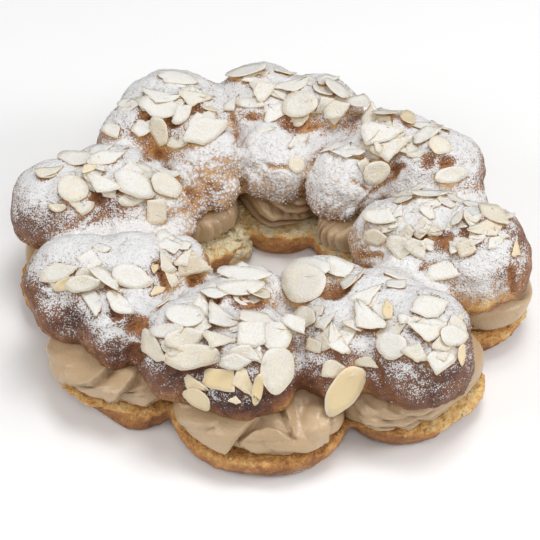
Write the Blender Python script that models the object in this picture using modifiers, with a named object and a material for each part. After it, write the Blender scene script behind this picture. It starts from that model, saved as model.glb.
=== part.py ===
"""Paris-Brest: a crown of eight choux buns, sliced level, with praline cream piped between the halves.

Metres, +Z up. The crown stands on z = 0, its bounding box centred on the Z axis.
Run with blender --background --python part.py, or from Blender's text editor.
"""

import math
from collections import namedtuple

import bmesh
import bpy
from mathutils import Matrix, Vector

MM = 0.001

# Heights, in metres.
BASE_TOP = 0.0145  # where the knife went through
LID_FLOOR = 0.0340  # underside of the lid crown
LID_WAIST = 0.0415  # where the lid buns are widest
CONTACT_GAP = 0.0003  # air between pieces that rest on each other

# How far a bun's outline swells from an ellipse (2) towards a box.
LID_FULLNESS = 2.25

# Surface density: the lobes as added, then the two fused crowns.
LID_LOBE_SEGMENTS = 24
BASE_LOBE_SEGMENTS = 32
LOBE_RINGS = 16
FUSE_VOXEL = 0.0022
SOFTEN_STEPS = 10
LID_TRIANGLES = 5100
BASE_TRIANGLES = 2000
CREASE_ANGLE = math.radians(50)  # edges sharper than this stay crisp

# Blocks that slice the crowns level, larger than the pastry every way.
SLICER_SPAN = 0.5
SLICER_DEPTH = 0.1

# Lobes of the lid buns, in millimetres: centre, half sizes and the height of the top. A bun is a
# broad brow at the rim and a narrow heel at the hole, and some buns burst into side lobes.
Lobe = namedtuple("Lobe", "x y half_x half_y top")
LID_BUNS = {
    "back_left": (
        Lobe(-53, 78, 30, 31, 72),
        Lobe(-74, 66, 18, 15, 67),
        Lobe(-43, 62, 21, 22, 69),
        Lobe(-33, 49, 18, 20, 64),
    ),
    "back": (
        Lobe(-9, 86, 23, 29, 71),
        Lobe(18, 81, 27, 25, 70),
        Lobe(0, 57, 20, 24, 64),
    ),
    "back_right": (
        Lobe(76, 45, 26, 23, 69),
        Lobe(55, 57, 24, 22, 71),
        Lobe(33, 42, 20, 20, 63),
    ),
    "right": (
        Lobe(91, -11, 29, 27, 70),
        Lobe(70, -3, 25, 28, 70),
        Lobe(53, -1, 20, 17, 66),
    ),
    "front_right": (
        Lobe(63, -69, 27, 29, 72),
        Lobe(27, -66, 20, 27, 69),
        Lobe(46, -54, 26, 26, 71),
        Lobe(22, -36, 21, 17, 66),
    ),
    "front": (
        Lobe(-40, -71, 23, 24, 69),
        Lobe(-14, -77, 24, 27, 70),
        Lobe(-25, -58, 25, 23, 69),
        Lobe(-14, -40, 19, 16, 63),
    ),
    "front_left": (
        Lobe(-91, -31, 27, 22, 72),
        Lobe(-92, -42, 22, 15, 63),
        Lobe(-71, -53, 20, 19, 63),
        Lobe(-65, -29, 24, 22, 71),
        Lobe(-47, -23, 19, 15, 66),
    ),
    "left": (
        Lobe(-103, 21, 27, 22, 70),
        Lobe(-80, 29, 26, 24, 71),
        Lobe(-58, 24, 20, 18, 65),
    ),
}

# Low saddles, where neighbouring buns have grown together.
SADDLES = (
    Lobe(-80, -2, 30, 17, 50),
    Lobe(59, -33, 22, 15, 56),
    Lobe(80, 21, 24, 15, 50),
    Lobe(5, -50, 13, 13, 50),
)

# The base crown is piped as a ring of scallops. Bearings of the notches a scallop lies between, in
# degrees anticlockwise from +X, then how far out its cut rim and its cream reach, in millimetres.
# The ring is a little longer from side to side than from front to back.
Scallop = namedtuple("Scallop", "starts ends rim cream")
SCALLOPS = (
    Scallop(-26.5, 19, 111, 113),
    Scallop(19, 66, 111, 109),
    Scallop(66, 111, 111, 108),
    Scallop(111, 155, 112, 109),
    Scallop(155, 199, 115, 111),
    Scallop(199, 240.5, 111, 112),
    Scallop(240.5, 289.5, 114, 110),
    Scallop(289.5, 333.5, 114, 110),
)
BASE_STRETCH = 1.09
BASE_INNER = 29.0
BASE_MIDDLE = 52.0  # where a scallop is widest
BASE_OVERLAP = 1.13  # each scallop runs past its notches, into the next
BASE_FULLNESS = 2.6
BASE_DEPTH = 24.0  # from the cut down to where the round bottom would end, were it not flat

# Cream on each base scallop: a fluted dollop, broad at the rim and narrow at the hole.
CREAM_INNER = 34.0
CREAM_MIDDLE = 68.0
CREAM_SHARE = 0.98  # of the width between a scallop's notches
CREAM_FULLNESS = 3.0
CREAM_FLUTES = 11
CREAM_FLUTE_DEPTH = 0.09
CREAM_TWIST = 0.8  # flutes turned through, from bottom to top
CREAM_TUCK = 0.08  # how far the top and bottom draw in
CREAM_STEPS = 60
CREAM_TIERS = 3

# Finish: colour, roughness.
CRUST = ((0.50, 0.25, 0.10), 0.65)
PALE_CRUST = ((0.62, 0.38, 0.17), 0.70)
PRALINE = ((0.62, 0.46, 0.31), 0.45)


def clear_scene():
    for obj in list(bpy.data.objects):
        bpy.data.objects.remove(obj)


def finish(name, looks):
    """A plain Principled material."""
    colour, roughness = looks
    material = bpy.data.materials.new(name)
    material.use_nodes = True
    shader = material.node_tree.nodes["Principled BSDF"]
    shader.inputs["Base Color"].default_value = (*colour, 1)
    shader.inputs["Roughness"].default_value = roughness
    shader.inputs["Metallic"].default_value = 0
    return material


def add_object(name, bm, collection, material=None):
    mesh = bpy.data.meshes.new(name)
    bm.to_mesh(mesh)
    bm.free()
    mesh.shade_smooth()
    mesh.set_sharp_from_angle(angle=CREASE_ANGLE)
    obj = bpy.data.objects.new(name, mesh)
    collection.objects.link(obj)
    if material:
        mesh.materials.append(material)
    return obj


def swell(point, fullness):
    """How much further out than a circle or ball a box-like one lies, in the direction of a point."""
    return sum(abs(part) ** fullness for part in point) ** (-1 / fullness)


def add_lobe(bm, lobe):
    """Adds one rounded lid lobe to a bmesh: a sphere swollen a little towards a box."""
    centre = Vector((lobe.x, lobe.y, 0)) * MM + Vector((0, 0, LID_WAIST))
    half_sizes = Vector((lobe.half_x * MM, lobe.half_y * MM, lobe.top * MM - LID_WAIST))
    sphere = bmesh.ops.create_uvsphere(
        bm, u_segments=LID_LOBE_SEGMENTS, v_segments=LOBE_RINGS, radius=1
    )
    for vert in sphere["verts"]:
        vert.co = centre + vert.co * swell(vert.co, LID_FULLNESS) * half_sizes


def around_ring(reach, bearing, height):
    """A place on the stretched ring: millimetres from its axis, degrees round it, metres up."""
    turn = math.radians(bearing)
    x = reach * math.cos(turn) * BASE_STRETCH * MM
    return Vector((x, reach * math.sin(turn) * MM, height))


def in_wedge(plan, scallop, inner, middle, outer):
    """Reach and bearing of a point of the unit disc, spread over a scallop's wedge of the ring."""
    half_turn = (scallop.ends - scallop.starts) / 2
    half_long = outer - middle if plan.x > 0 else middle - inner
    return middle + half_long * plan.x, scallop.starts + half_turn * (1 + plan.y)


def add_scallop(bm, scallop):
    """Adds one base scallop to a bmesh: a wedge of the ring with rounded ends, sides and bottom."""
    sphere = bmesh.ops.create_uvsphere(
        bm, u_segments=BASE_LOBE_SEGMENTS, v_segments=LOBE_RINGS, radius=1
    )
    for vert in sphere["verts"]:
        point = vert.co * swell(vert.co, BASE_FULLNESS)
        plan = Vector((point.x, point.y * BASE_OVERLAP))
        reach, bearing = in_wedge(plan, scallop, BASE_INNER, BASE_MIDDLE, scallop.rim)
        vert.co = around_ring(reach, bearing, BASE_TOP + BASE_DEPTH * MM * point.z)


def fuse(obj, triangles):
    """Modifiers that grow overlapping lobes into one soft skin, as buns do in the oven."""
    remesh = obj.modifiers.new("grow together", "REMESH")
    remesh.mode = "VOXEL"
    remesh.voxel_size = FUSE_VOXEL
    remesh.use_smooth_shade = True
    soften = obj.modifiers.new("soften", "SMOOTH")
    soften.factor = 0.5
    soften.iterations = SOFTEN_STEPS
    graph = bpy.context.evaluated_depsgraph_get()
    skin = obj.evaluated_get(graph).to_mesh()
    skin.calc_loop_triangles()
    dense = len(skin.loop_triangles)
    obj.evaluated_get(graph).to_mesh_clear()
    lighten = obj.modifiers.new("lighten", "DECIMATE")
    lighten.ratio = triangles / dense
    lighten.use_collapse_triangulate = True


def slab(name, low, high, cutters):
    """A cutter: a wide flat block from one height to another."""
    bm = bmesh.new()
    place = Matrix.Translation((0, 0, (low + high) / 2))
    size = Matrix.Diagonal((SLICER_SPAN, SLICER_SPAN, high - low, 1))
    bmesh.ops.create_cube(bm, size=1, matrix=place @ size)
    obj = add_object(name, bm, cutters)
    obj.hide_render = True
    obj.display_type = "WIRE"
    return obj


def slice_off(obj, cutter):
    cut = obj.modifiers.new("slice", "BOOLEAN")
    cut.operation = "DIFFERENCE"
    cut.object = cutter


def lid_crown(pastry, cutters):
    """The upper half of the crown: every lid bun's lobes, fused, with a level underside."""
    bm = bmesh.new()
    for lobes in (*LID_BUNS.values(), SADDLES):
        for lobe in lobes:
            add_lobe(bm, lobe)
    crown = add_object("lid_crown", bm, pastry, finish("crust", CRUST))
    fuse(crown, LID_TRIANGLES)
    slice_off(crown, slab("below_lid", LID_FLOOR - SLICER_DEPTH, LID_FLOOR, cutters))
    return crown


def base_crown(pastry, cutters):
    """The lower half: flat on its baking side, widest at the cut, with a scallop per dollop."""
    bm = bmesh.new()
    for scallop in SCALLOPS:
        add_scallop(bm, scallop)
    crown = add_object("base_crown", bm, pastry, finish("pale_crust", PALE_CRUST))
    fuse(crown, BASE_TRIANGLES)
    slice_off(crown, slab("above_base", BASE_TOP, BASE_TOP + SLICER_DEPTH, cutters))
    slice_off(crown, slab("below_base", -SLICER_DEPTH, 0, cutters))
    return crown


def cream_dollop(name, scallop, pastry, material):
    """Cream piped on one scallop: fluted by a star nozzle, it fills the height between halves."""
    floor = BASE_TOP + CONTACT_GAP
    rise = LID_FLOOR - CONTACT_GAP - floor
    bm = bmesh.new()
    bmesh.ops.create_cone(bm, cap_ends=True, segments=CREAM_STEPS, radius1=1, radius2=1, depth=1)
    uprights = [edge for edge in bm.edges if abs(edge.verts[0].co.z - edge.verts[1].co.z) > 0.5]
    bmesh.ops.subdivide_edges(bm, edges=uprights, cuts=CREAM_TIERS - 1, use_grid_fill=True)
    for vert in bm.verts:
        height = vert.co.z + 0.5
        flute = CREAM_FLUTES * math.atan2(vert.co.y, vert.co.x) / math.tau + CREAM_TWIST * height
        valley = CREAM_FLUTE_DEPTH * (1 - abs(math.sin(math.pi * flute)))
        tuck = CREAM_TUCK * (1 - math.sin(math.pi * height))
        plan = vert.co.xy * swell(vert.co.xy, CREAM_FULLNESS) * (1 - valley - tuck)
        plan.y *= CREAM_SHARE
        reach, bearing = in_wedge(plan, scallop, CREAM_INNER, CREAM_MIDDLE, scallop.cream)
        vert.co = around_ring(reach, bearing, floor + rise * height)
    return add_object(name, bm, pastry, material)


def centre_on_axis(pieces):
    """Slides every piece level, so that the whole crown's bounding box is centred on the Z axis."""
    graph = bpy.context.evaluated_depsgraph_get()
    corners = [Vector(corner) for piece in pieces for corner in piece.evaluated_get(graph).bound_box]
    middle = [(min(c[k] for c in corners) + max(c[k] for c in corners)) / 2 for k in range(2)]
    for obj in bpy.data.objects:
        obj.location -= Vector((*middle, 0))
    bpy.context.view_layer.update()


def build():
    clear_scene()
    pastry = bpy.data.collections.new("paris_brest")
    cutters = bpy.data.collections.new("cutters")
    for collection in (pastry, cutters):
        bpy.context.scene.collection.children.link(collection)
    praline = finish("praline", PRALINE)
    pieces = [base_crown(pastry, cutters)]
    for number, scallop in enumerate(SCALLOPS, start=1):
        pieces.append(cream_dollop(f"cream_{number}", scallop, pastry, praline))
    pieces.append(lid_crown(pastry, cutters))
    centre_on_axis(pieces)


build()
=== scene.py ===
"""The finished look of a Paris-Brest: choux crust, piped praline cream, flaked almonds, icing sugar.

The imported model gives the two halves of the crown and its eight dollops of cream. Every visible
surface is made here around them. Metres, +Z up, the front of the pastry towards -Y.
"""

import itertools
import math
import random
from collections import namedtuple

import bmesh
import bpy
import numpy as np
from mathutils import Matrix, Vector
from mathutils.bvhtree import BVHTree
from mathutils.noise import noise as smooth_noise


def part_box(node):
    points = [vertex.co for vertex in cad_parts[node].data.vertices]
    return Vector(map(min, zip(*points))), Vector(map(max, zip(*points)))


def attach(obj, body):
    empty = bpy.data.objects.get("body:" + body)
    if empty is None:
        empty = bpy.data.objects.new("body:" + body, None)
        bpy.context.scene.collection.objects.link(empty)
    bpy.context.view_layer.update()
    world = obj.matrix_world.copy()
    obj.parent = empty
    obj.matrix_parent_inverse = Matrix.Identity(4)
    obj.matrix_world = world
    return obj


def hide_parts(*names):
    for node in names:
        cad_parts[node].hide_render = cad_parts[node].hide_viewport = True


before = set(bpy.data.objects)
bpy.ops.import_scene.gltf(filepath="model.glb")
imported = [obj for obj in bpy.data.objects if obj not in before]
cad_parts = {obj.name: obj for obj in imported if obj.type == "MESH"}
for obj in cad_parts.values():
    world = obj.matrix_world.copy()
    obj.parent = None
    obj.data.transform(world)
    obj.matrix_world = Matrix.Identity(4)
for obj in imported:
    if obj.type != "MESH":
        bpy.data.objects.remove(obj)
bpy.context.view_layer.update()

MM = 0.001
FAR_OFF = 1e9
UP = Vector((0, 0, 1))
SAME_PLACE = 1e-5  # vertices closer together than this are one

# ---------------------------------------------------------------- sizes

LID_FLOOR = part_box("lid_crown")[0].z
BASE_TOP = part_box("base_crown")[1].z

# The ring that the crown is piped on: where its centre stands, and how much wider than deep it is.
RING_CENTRE = Vector((0.0037, -0.0006, 0))
RING_STRETCH = 1.09

# The faces that the two crusts are made of, across, and how often their first skin is smoothed.
LID_VOXEL = 0.00114
LID_SMOOTHING = 6
BASE_VOXEL = 0.00115
BASE_SMOOTHING = 4
TORN_VOXEL = 0.0006
TORN_SMOOTHING = 3

# Cream on each scallop of the base, starting at the right and going round by the back. Bearings in
# degrees anticlockwise from +X, reaches inwards and outwards in millimetres, then the folds that
# the nozzle left: how many go round, how far they lean and fan out from one side (in folds), the
# bearing they gather at, how deep they are (share of the dollop's half width), where the crest of
# a fold lies between its two grooves, how far it laps over the next, and where the first starts.
Dollop = namedtuple(
    "Dollop", "starts ends inner outer folds lean fan gather depth crest lap phase"
)
DOLLOPS = (
    Dollop(-26.5, 19, 34, 110, 5, 1.6, 0.0, 0, 0.05, 0.70, 0.20, 0.0),
    Dollop(19, 66, 28, 109, 19, 0.5, 0.0, 0, 0.04, 0.50, 0.10, 0.3),
    Dollop(66, 111, 32, 108, 3, 3.2, 2.0, 180, 0.15, 0.62, 0.10, 0.2),
    Dollop(111, 155, 36, 109, 17, -0.2, 0.0, 0, 0.03, 0.50, 0.10, 0.6),
    Dollop(155, 199, 34, 112, 10, 1.2, 0.0, 0, 0.13, 0.70, 0.25, 0.1),
    Dollop(199, 240.5, 34, 114, 9, -1.1, 0.0, 0, 0.02, 0.74, 0.05, 0.4),
    Dollop(240.5, 289.5, 34, 111, 12, 0.4, 2.4, 10, 0.03, 0.68, 0.05, 0.1),
    Dollop(286.0, 333.5, 34, 111, 2, 3.4, 0.0, 0, 0.03, 0.74, 0.05, 0.7),
)
# A swelling: x, y, z and radius in millimetres, and its height, or less than nothing for a hollow.
Swell = namedtuple("Swell", "x y z radius height")
# The folds of the three dollops in front, listed one by one. Each runs through points in millimetres,
# with its high side on the left: how far that side rises and how far back it swells, then how far
# the other side drops and how wide it lies. A crease drops on both sides, and a ridge on neither.
Lip = namedtuple("Lip", "points rise back drop width")
LIPS = {
    6: (
        Lip(((-93, -74, 24), (-86, -79, 28), (-81, -80, 30), (-76, -77, 32), (-73, -73, 33)), 2.0, 9, 2.8, 5),
        Lip(((-72, -83, 23), (-65, -83, 30), (-61, -78, 33)), 2.2, 9, 3.0, 6),
        Lip(((-70, -84, 25), (-63, -84, 30), (-56, -81, 31)), 0.9, 2.5, 0.9, 2),
        Lip(((-67, -84, 24), (-59, -85, 28), (-54, -83, 28)), 0.9, 2.5, 0.9, 2),
        Lip(((-99, -58, 30), (-92, -62, 32), (-84, -65, 33)), -0.8, 4, 0.8, 4),
    ),
    7: (
        Lip(((-40, -97, 25), (-32, -103, 29), (-26, -104, 30)), 0.8, 5, 0.9, 3),
        Lip(((-20, -108, 17), (-15, -110, 27), (-11, -107, 31), (-6, -102, 34)), 2.2, 10, 2.6, 5),
        Lip(((9, -109, 30), (4, -106, 32), (-2, -105, 33), (-8, -107, 31), (-13, -110, 27)), 1.7, 5, 1.6, 3),
        Lip(((-13, -110, 26), (-5, -111, 27), (4, -110, 28)), -1.0, 1.5, 1.0, 1.5),
        Lip(((-13, -111, 24), (-9, -112, 21), (-5, -110, 17)), 1.3, 4, 1.2, 3),
        Lip(((-3, -111, 26), (0, -111, 23), (4, -110, 18)), -1.2, 2, 1.2, 2),
        Lip(((4, -111, 25), (10, -111, 24), (16, -110, 21)), 1.3, 4, -1.3, 4),
        Lip(((6, -95, 34), (9, -103, 32), (11, -108, 29)), 1.7, 3, 1.8, 3),
        Lip(((12, -92, 34), (12, -101, 32), (12, -109, 28)), -1.6, 1.8, 1.6, 1.8),
        Lip(((17, -92, 34), (14, -99, 33), (15, -106, 30), (19, -109, 25)), -1.4, 2, 1.4, 2),
        Lip(((22, -96, 33), (21, -103, 28), (20, -108, 21)), 1.5, 5, -1.5, 5),
        Lip(((26, -106, 17), (27, -101, 29), (27, -94, 33)), 1.2, 4, 2.2, 4),
    ),
    8: (
        Lip(((35, -84, 30), (41, -89, 25), (47, -92, 17)), -1.7, 2.4, 1.7, 2.4),
        Lip(((44, -90, 33), (49, -93, 28), (54, -95, 25), (59, -96, 18)), -1.7, 2.4, 1.7, 2.4),
        Lip(((55, -93, 33), (61, -95, 28), (66, -94, 25), (71, -92, 18)), -1.7, 2.4, 1.7, 2.4),
        Lip(((33, -82, 26), (37, -86, 22), (42, -90, 16)), 1.5, 3.4, -1.5, 3.4),
        Lip(((40, -88, 30), (47, -92, 24), (53, -96, 17)), 1.5, 3.4, -1.5, 3.4),
        Lip(((52, -93, 31), (59, -95, 26), (65, -95, 17)), 1.5, 3.4, -1.5, 3.4),
        Lip(((64, -92, 32), (70, -92, 26), (76, -90, 17)), 1.5, 3.4, -1.5, 3.4),
        Lip(((42, -88, 28), (47, -92, 26), (53, -95, 22)), 0.5, 2, 0.5, 2),
        Lip(((52, -92, 31), (58, -94, 29), (64, -95, 24)), 0.5, 2, 0.5, 2),
    ),
}
# Where the cream stays back from the edge of the base, or comes further out.
PRESSED = {
    6: (Swell(-71, -85, 20, 19, -5.5), Swell(-98, -67, 20, 13, 2.5)),
}
LIP_SHARP = 0.45  # how wide the step from a fold's high side to its low side is, in millimetres
LIP_FADE = 2.5  # how soon a fold dies away past its ends, in millimetres
LIP_REACH = 18  # how far from its line a fold is felt at all, in millimetres
LIP_RELIEF = 1.2  # how much stronger the folds stand than their own heights
CREAM_MIDDLE = 68.0  # how far a dollop's middle is from the middle of the ring, in millimetres
CREAM_SQUARENESS = 3.0  # 2 makes a dollop round as seen from above, more makes it squarer
CREAM_PRESS = 0.0004  # how far the cream squeezes into the crumb above and below it
CREAM_STEPS = 280  # how many faces go round a dollop
CREAM_LEVELS = 64  # how many faces go from its top to its foot
FOLD_REACH = 0.009  # how near the next fold has to be to shade the cream

# ---------------------------------------------------------------- node trees


class Field:
    """A value in a node tree, which Python's own signs can reckon with."""

    def __init__(self, tree, socket):
        self.tree = tree
        self.socket = socket

    def maths(self, operation, *others):
        return add_node(self.tree, "ShaderNodeMath", (self, *others), operation=operation)[0]

    def vector(self, operation, other, take=0):
        kind = "ShaderNodeVectorMath"
        return add_node(self.tree, kind, (self, other), operation=operation)[take]

    def __add__(self, other):
        return self.maths("ADD", other)

    def __radd__(self, other):
        return self.maths("ADD", other)

    def __sub__(self, other):
        return self.maths("SUBTRACT", other)

    def __rsub__(self, other):
        return constant(self.tree, other).maths("SUBTRACT", self)

    def __mul__(self, other):
        return self.maths("MULTIPLY", other)

    def __rmul__(self, other):
        return self.maths("MULTIPLY", other)

    def __truediv__(self, other):
        return self.maths("DIVIDE", other)

    def __rtruediv__(self, other):
        return constant(self.tree, other).maths("DIVIDE", self)

    def __pow__(self, other):
        return self.maths("POWER", other)

    def scaled(self, amount):
        """A vector made longer or shorter."""
        sockets = {0: self, "Scale": amount}
        return add_node(self.tree, "ShaderNodeVectorMath", sockets, operation="SCALE")[0]

    def ramp(self, low, high, start=0.0, end=1.0):
        """Eases from start at low to end at high, and stays level beyond them."""
        sockets = {"Value": self, "From Min": low, "From Max": high, "To Min": start, "To Max": end}
        kind = "ShaderNodeMapRange"
        return add_node(self.tree, kind, sockets, interpolation_type="SMOOTHSTEP")[0]


def plug(tree, socket, value):
    """Gives an input socket a link or a plain value."""
    if isinstance(value, Field):
        tree.links.new(value.socket, socket)
    else:
        socket.default_value = value


def add_node(tree, kind, inputs=(), **settings):
    """Adds a node and returns its outputs as fields. Inputs go by name, or in order."""
    node = tree.nodes.new(kind)
    for name, value in settings.items():
        setattr(node, name, value)
    pairs = inputs.items() if isinstance(inputs, dict) else enumerate(inputs)
    for key, value in pairs:
        plug(tree, node.inputs[key], value)
    return [Field(tree, socket) for socket in node.outputs]


NOISE_SWING = 3.2  # a noise texture keeps near 0.5, and this spreads it to about -1 to 1
CENTRED = (0.5, 0.5, 0.5)


def constant(tree, value):
    return add_node(tree, "ShaderNodeMath", (value, 0.0), operation="ADD")[0]


def combine(tree, x, y, z):
    return add_node(tree, "ShaderNodeCombineXYZ", (x, y, z))[0]


def noise(tree, place, size, detail=2.0, roughness=0.5, shift=0.0, swing=NOISE_SWING):
    """Smooth noise from about -1 to 1, whose features are about size metres across."""
    sockets = {"Vector": place, "W": shift, "Scale": 1 / size, "Detail": detail}
    sockets["Roughness"] = roughness
    value = add_node(tree, "ShaderNodeTexNoise", sockets, noise_dimensions="4D")[0]
    return (value - 0.5) * swing


def noise_colour(tree, place, size):
    """Three smooth noises, each from about -1 to 1, as one vector."""
    colour = add_node(tree, "ShaderNodeTexNoise", {"Vector": place, "Scale": 1 / size})[1]
    return colour.vector("SUBTRACT", CENTRED).vector("MULTIPLY", (NOISE_SWING,) * 3)


def cells(tree, place, size, feature="F1"):
    """Uneven cells about size metres across: how far off their middles are, and their colours."""
    sockets = {"Vector": place, "Scale": 1 / size}
    return add_node(tree, "ShaderNodeTexVoronoi", sockets, feature=feature)


def colour_ramp(tree, value, stops):
    """A colour that changes along stops of (place, (red, green, blue))."""
    node = tree.nodes.new("ShaderNodeValToRGB")
    plug(tree, node.inputs[0], value)
    stretch = node.color_ramp
    while len(stretch.elements) < len(stops):
        stretch.elements.new(0.5)
    for element, (place, colour) in zip(stretch.elements, stops):
        element.position = place
        element.color = (*colour, 1)
    return Field(tree, node.outputs["Color"])


def mix_colour(tree, share, below, above):
    """A share of the colour above over the colour below."""
    node = tree.nodes.new("ShaderNodeMix")
    node.data_type = "RGBA"
    plug(tree, node.inputs[0], share)
    plug(tree, node.inputs[6], below if isinstance(below, Field) else (*below, 1))
    plug(tree, node.inputs[7], above if isinstance(above, Field) else (*above, 1))
    return Field(tree, node.outputs[2])


# The kind of socket that a group's input has, by its default.
SOCKETS = {float: "NodeSocketFloat", int: "NodeSocketInt", tuple: "NodeSocketColor"}


def open_group(name, kind, inputs, outputs):
    """Starts a node group. Returns it, its inputs as fields by name, and its output node.

    An input is given by its default, or by the name of its kind of socket."""
    group = bpy.data.node_groups.new(name, kind)
    for label, default in inputs.items():
        socket = default if isinstance(default, str) else SOCKETS[type(default)]
        made = group.interface.new_socket(label, in_out="INPUT", socket_type=socket)
        if isinstance(default, tuple):
            made.default_value = (*default, 1)
        elif isinstance(default, (float, int)):
            made.default_value = default
    for label, socket_type in outputs.items():
        group.interface.new_socket(label, in_out="OUTPUT", socket_type=socket_type)
    source = group.nodes.new("NodeGroupInput")
    fields = {label: Field(group, source.outputs[label]) for label in inputs}
    return group, fields, group.nodes.new("NodeGroupOutput")


def finish_geometry(group, geometry, material, out):
    """Ends a geometry group: instances made real, and their material set."""
    real = add_node(group, "GeometryNodeRealizeInstances", {0: geometry})[0]
    body = {"Geometry": real, "Material": material}
    done = add_node(group, "GeometryNodeSetMaterial", body)[0]
    plug(group, out.inputs["Geometry"], done)


def named_attribute(group, label, data_type="FLOAT"):
    """A mesh's own attribute, read inside a geometry group."""
    node = group.nodes.new("GeometryNodeInputNamedAttribute")
    node.data_type = data_type
    node.inputs["Name"].default_value = label
    return Field(group, node.outputs["Attribute"])


def use_group(tree, group, inputs):
    """Places a shader group in a material. Returns its outputs as fields by name."""
    node = tree.nodes.new("ShaderNodeGroup")
    node.node_tree = group
    for key, value in inputs.items():
        is_colour = isinstance(value, tuple) and len(value) == 3
        plug(tree, node.inputs[key], (*value, 1) if is_colour else value)
    return {socket.name: Field(tree, socket) for socket in node.outputs}


# ---------------------------------------------------------------- meshes


def make_object(name, mesh):
    """A new object in the scene, at the origin."""
    obj = bpy.data.objects.new(name, mesh)
    bpy.context.scene.collection.objects.link(obj)
    return obj


def merged_copy(node, name):
    """A CAD node's mesh as one connected skin in a new object."""
    bm = bmesh.new()
    bm.from_mesh(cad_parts[node].data)
    bmesh.ops.remove_doubles(bm, verts=bm.verts, dist=SAME_PLACE)
    mesh = bpy.data.meshes.new(name)
    bm.to_mesh(mesh)
    bm.free()
    return make_object(name, mesh)


def made_real(obj):
    """Turns an object's modifiers into plain mesh."""
    graph = bpy.context.evaluated_depsgraph_get()
    mesh = bpy.data.meshes.new_from_object(obj.evaluated_get(graph))
    obj.modifiers.clear()
    obj.data = mesh
    mesh.name = obj.name
    return obj


def shape_by_nodes(obj, group, inputs):
    """Runs a geometry group on an object with its inputs given by name, and keeps the mesh."""
    modifier = obj.modifiers.new(group.name, "NODES")
    modifier.node_group = group
    for item in group.interface.items_tree:
        if item.in_out == "INPUT" and item.name in inputs:
            modifier[item.identifier] = inputs[item.name]
    return made_real(obj)


def outward(mesh):
    """Points every face of a closed mesh outwards."""
    bm = bmesh.new()
    bm.from_mesh(mesh)
    bmesh.ops.recalc_face_normals(bm, faces=bm.faces)
    bm.to_mesh(mesh)
    bm.free()


def vertex_array(mesh, field="co"):
    """A mesh's vertices as rows of an array: their places in metres, or their normals."""
    values = np.empty(len(mesh.vertices) * 3, np.float32)
    if field == "co":
        mesh.vertices.foreach_get("co", values)
    else:
        mesh.vertex_normals.foreach_get("vector", values)
    return values.reshape(-1, 3).astype(float)


def move_vertices(mesh, places):
    """Puts a mesh's vertices at places given in millimetres."""
    mesh.vertices.foreach_set("co", (places * MM).astype(np.float32).ravel())
    mesh.update()


def even_skin(obj, voxel, rounds):
    """Remakes an object as one skin of even faces, and smooths it a number of times."""
    remesh = obj.modifiers.new("even skin", "REMESH")
    remesh.mode = "VOXEL"
    remesh.voxel_size = voxel
    softener = obj.modifiers.new("soften", "SMOOTH")
    softener.factor = 0.5
    softener.iterations = rounds
    return made_real(obj)


def distance_from(places, spot):
    """How far each place is from a spot, all in millimetres."""
    return np.linalg.norm(places - np.array((spot.x, spot.y, spot.z)), axis=1)


def nearness(places, spot):
    """How near each place is to a spot, from 1 at the spot to 0 well beyond its radius."""
    return np.exp(-((distance_from(places, spot) / spot.radius) ** 2))


def joined_tree(meshes):
    """One tree for casting rays against several meshes."""
    places, faces = [], []
    for mesh in meshes:
        first = len(places)
        places.extend(vert.co for vert in mesh.vertices)
        faces.extend([first + corner for corner in face.vertices] for face in mesh.polygons)
    return BVHTree.FromPolygons(places, faces)


def write_attribute(mesh, name, values):
    """Stores a value on each vertex, for the materials and geometry groups to read."""
    layer = mesh.attributes.new(name, "FLOAT", "POINT")
    layer.data.foreach_set("value", np.asarray(values, np.float32))


def read_attribute(mesh, name):
    values = np.empty(len(mesh.vertices), np.float32)
    mesh.attributes[name].data.foreach_get("value", values)
    return values


# ---------------------------------------------------------------- crust


def outward_from_ring(x, y):
    """The level direction from the middle of the ring to a place in millimetres."""
    return Vector((x - RING_CENTRE.x / MM, y - RING_CENTRE.y / MM, 0)).normalized()


def press(mesh, hollows):
    """Pushes a mesh away from the middle of the ring, or towards it."""
    places = vertex_array(mesh) / MM
    for item in hollows:
        share = np.clip(1 - (distance_from(places, item) / item.radius) ** 2, 0, 1) ** 2
        places += (share * item.height)[:, None] * np.array(outward_from_ring(item.x, item.y))
    move_vertices(mesh, places)


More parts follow.
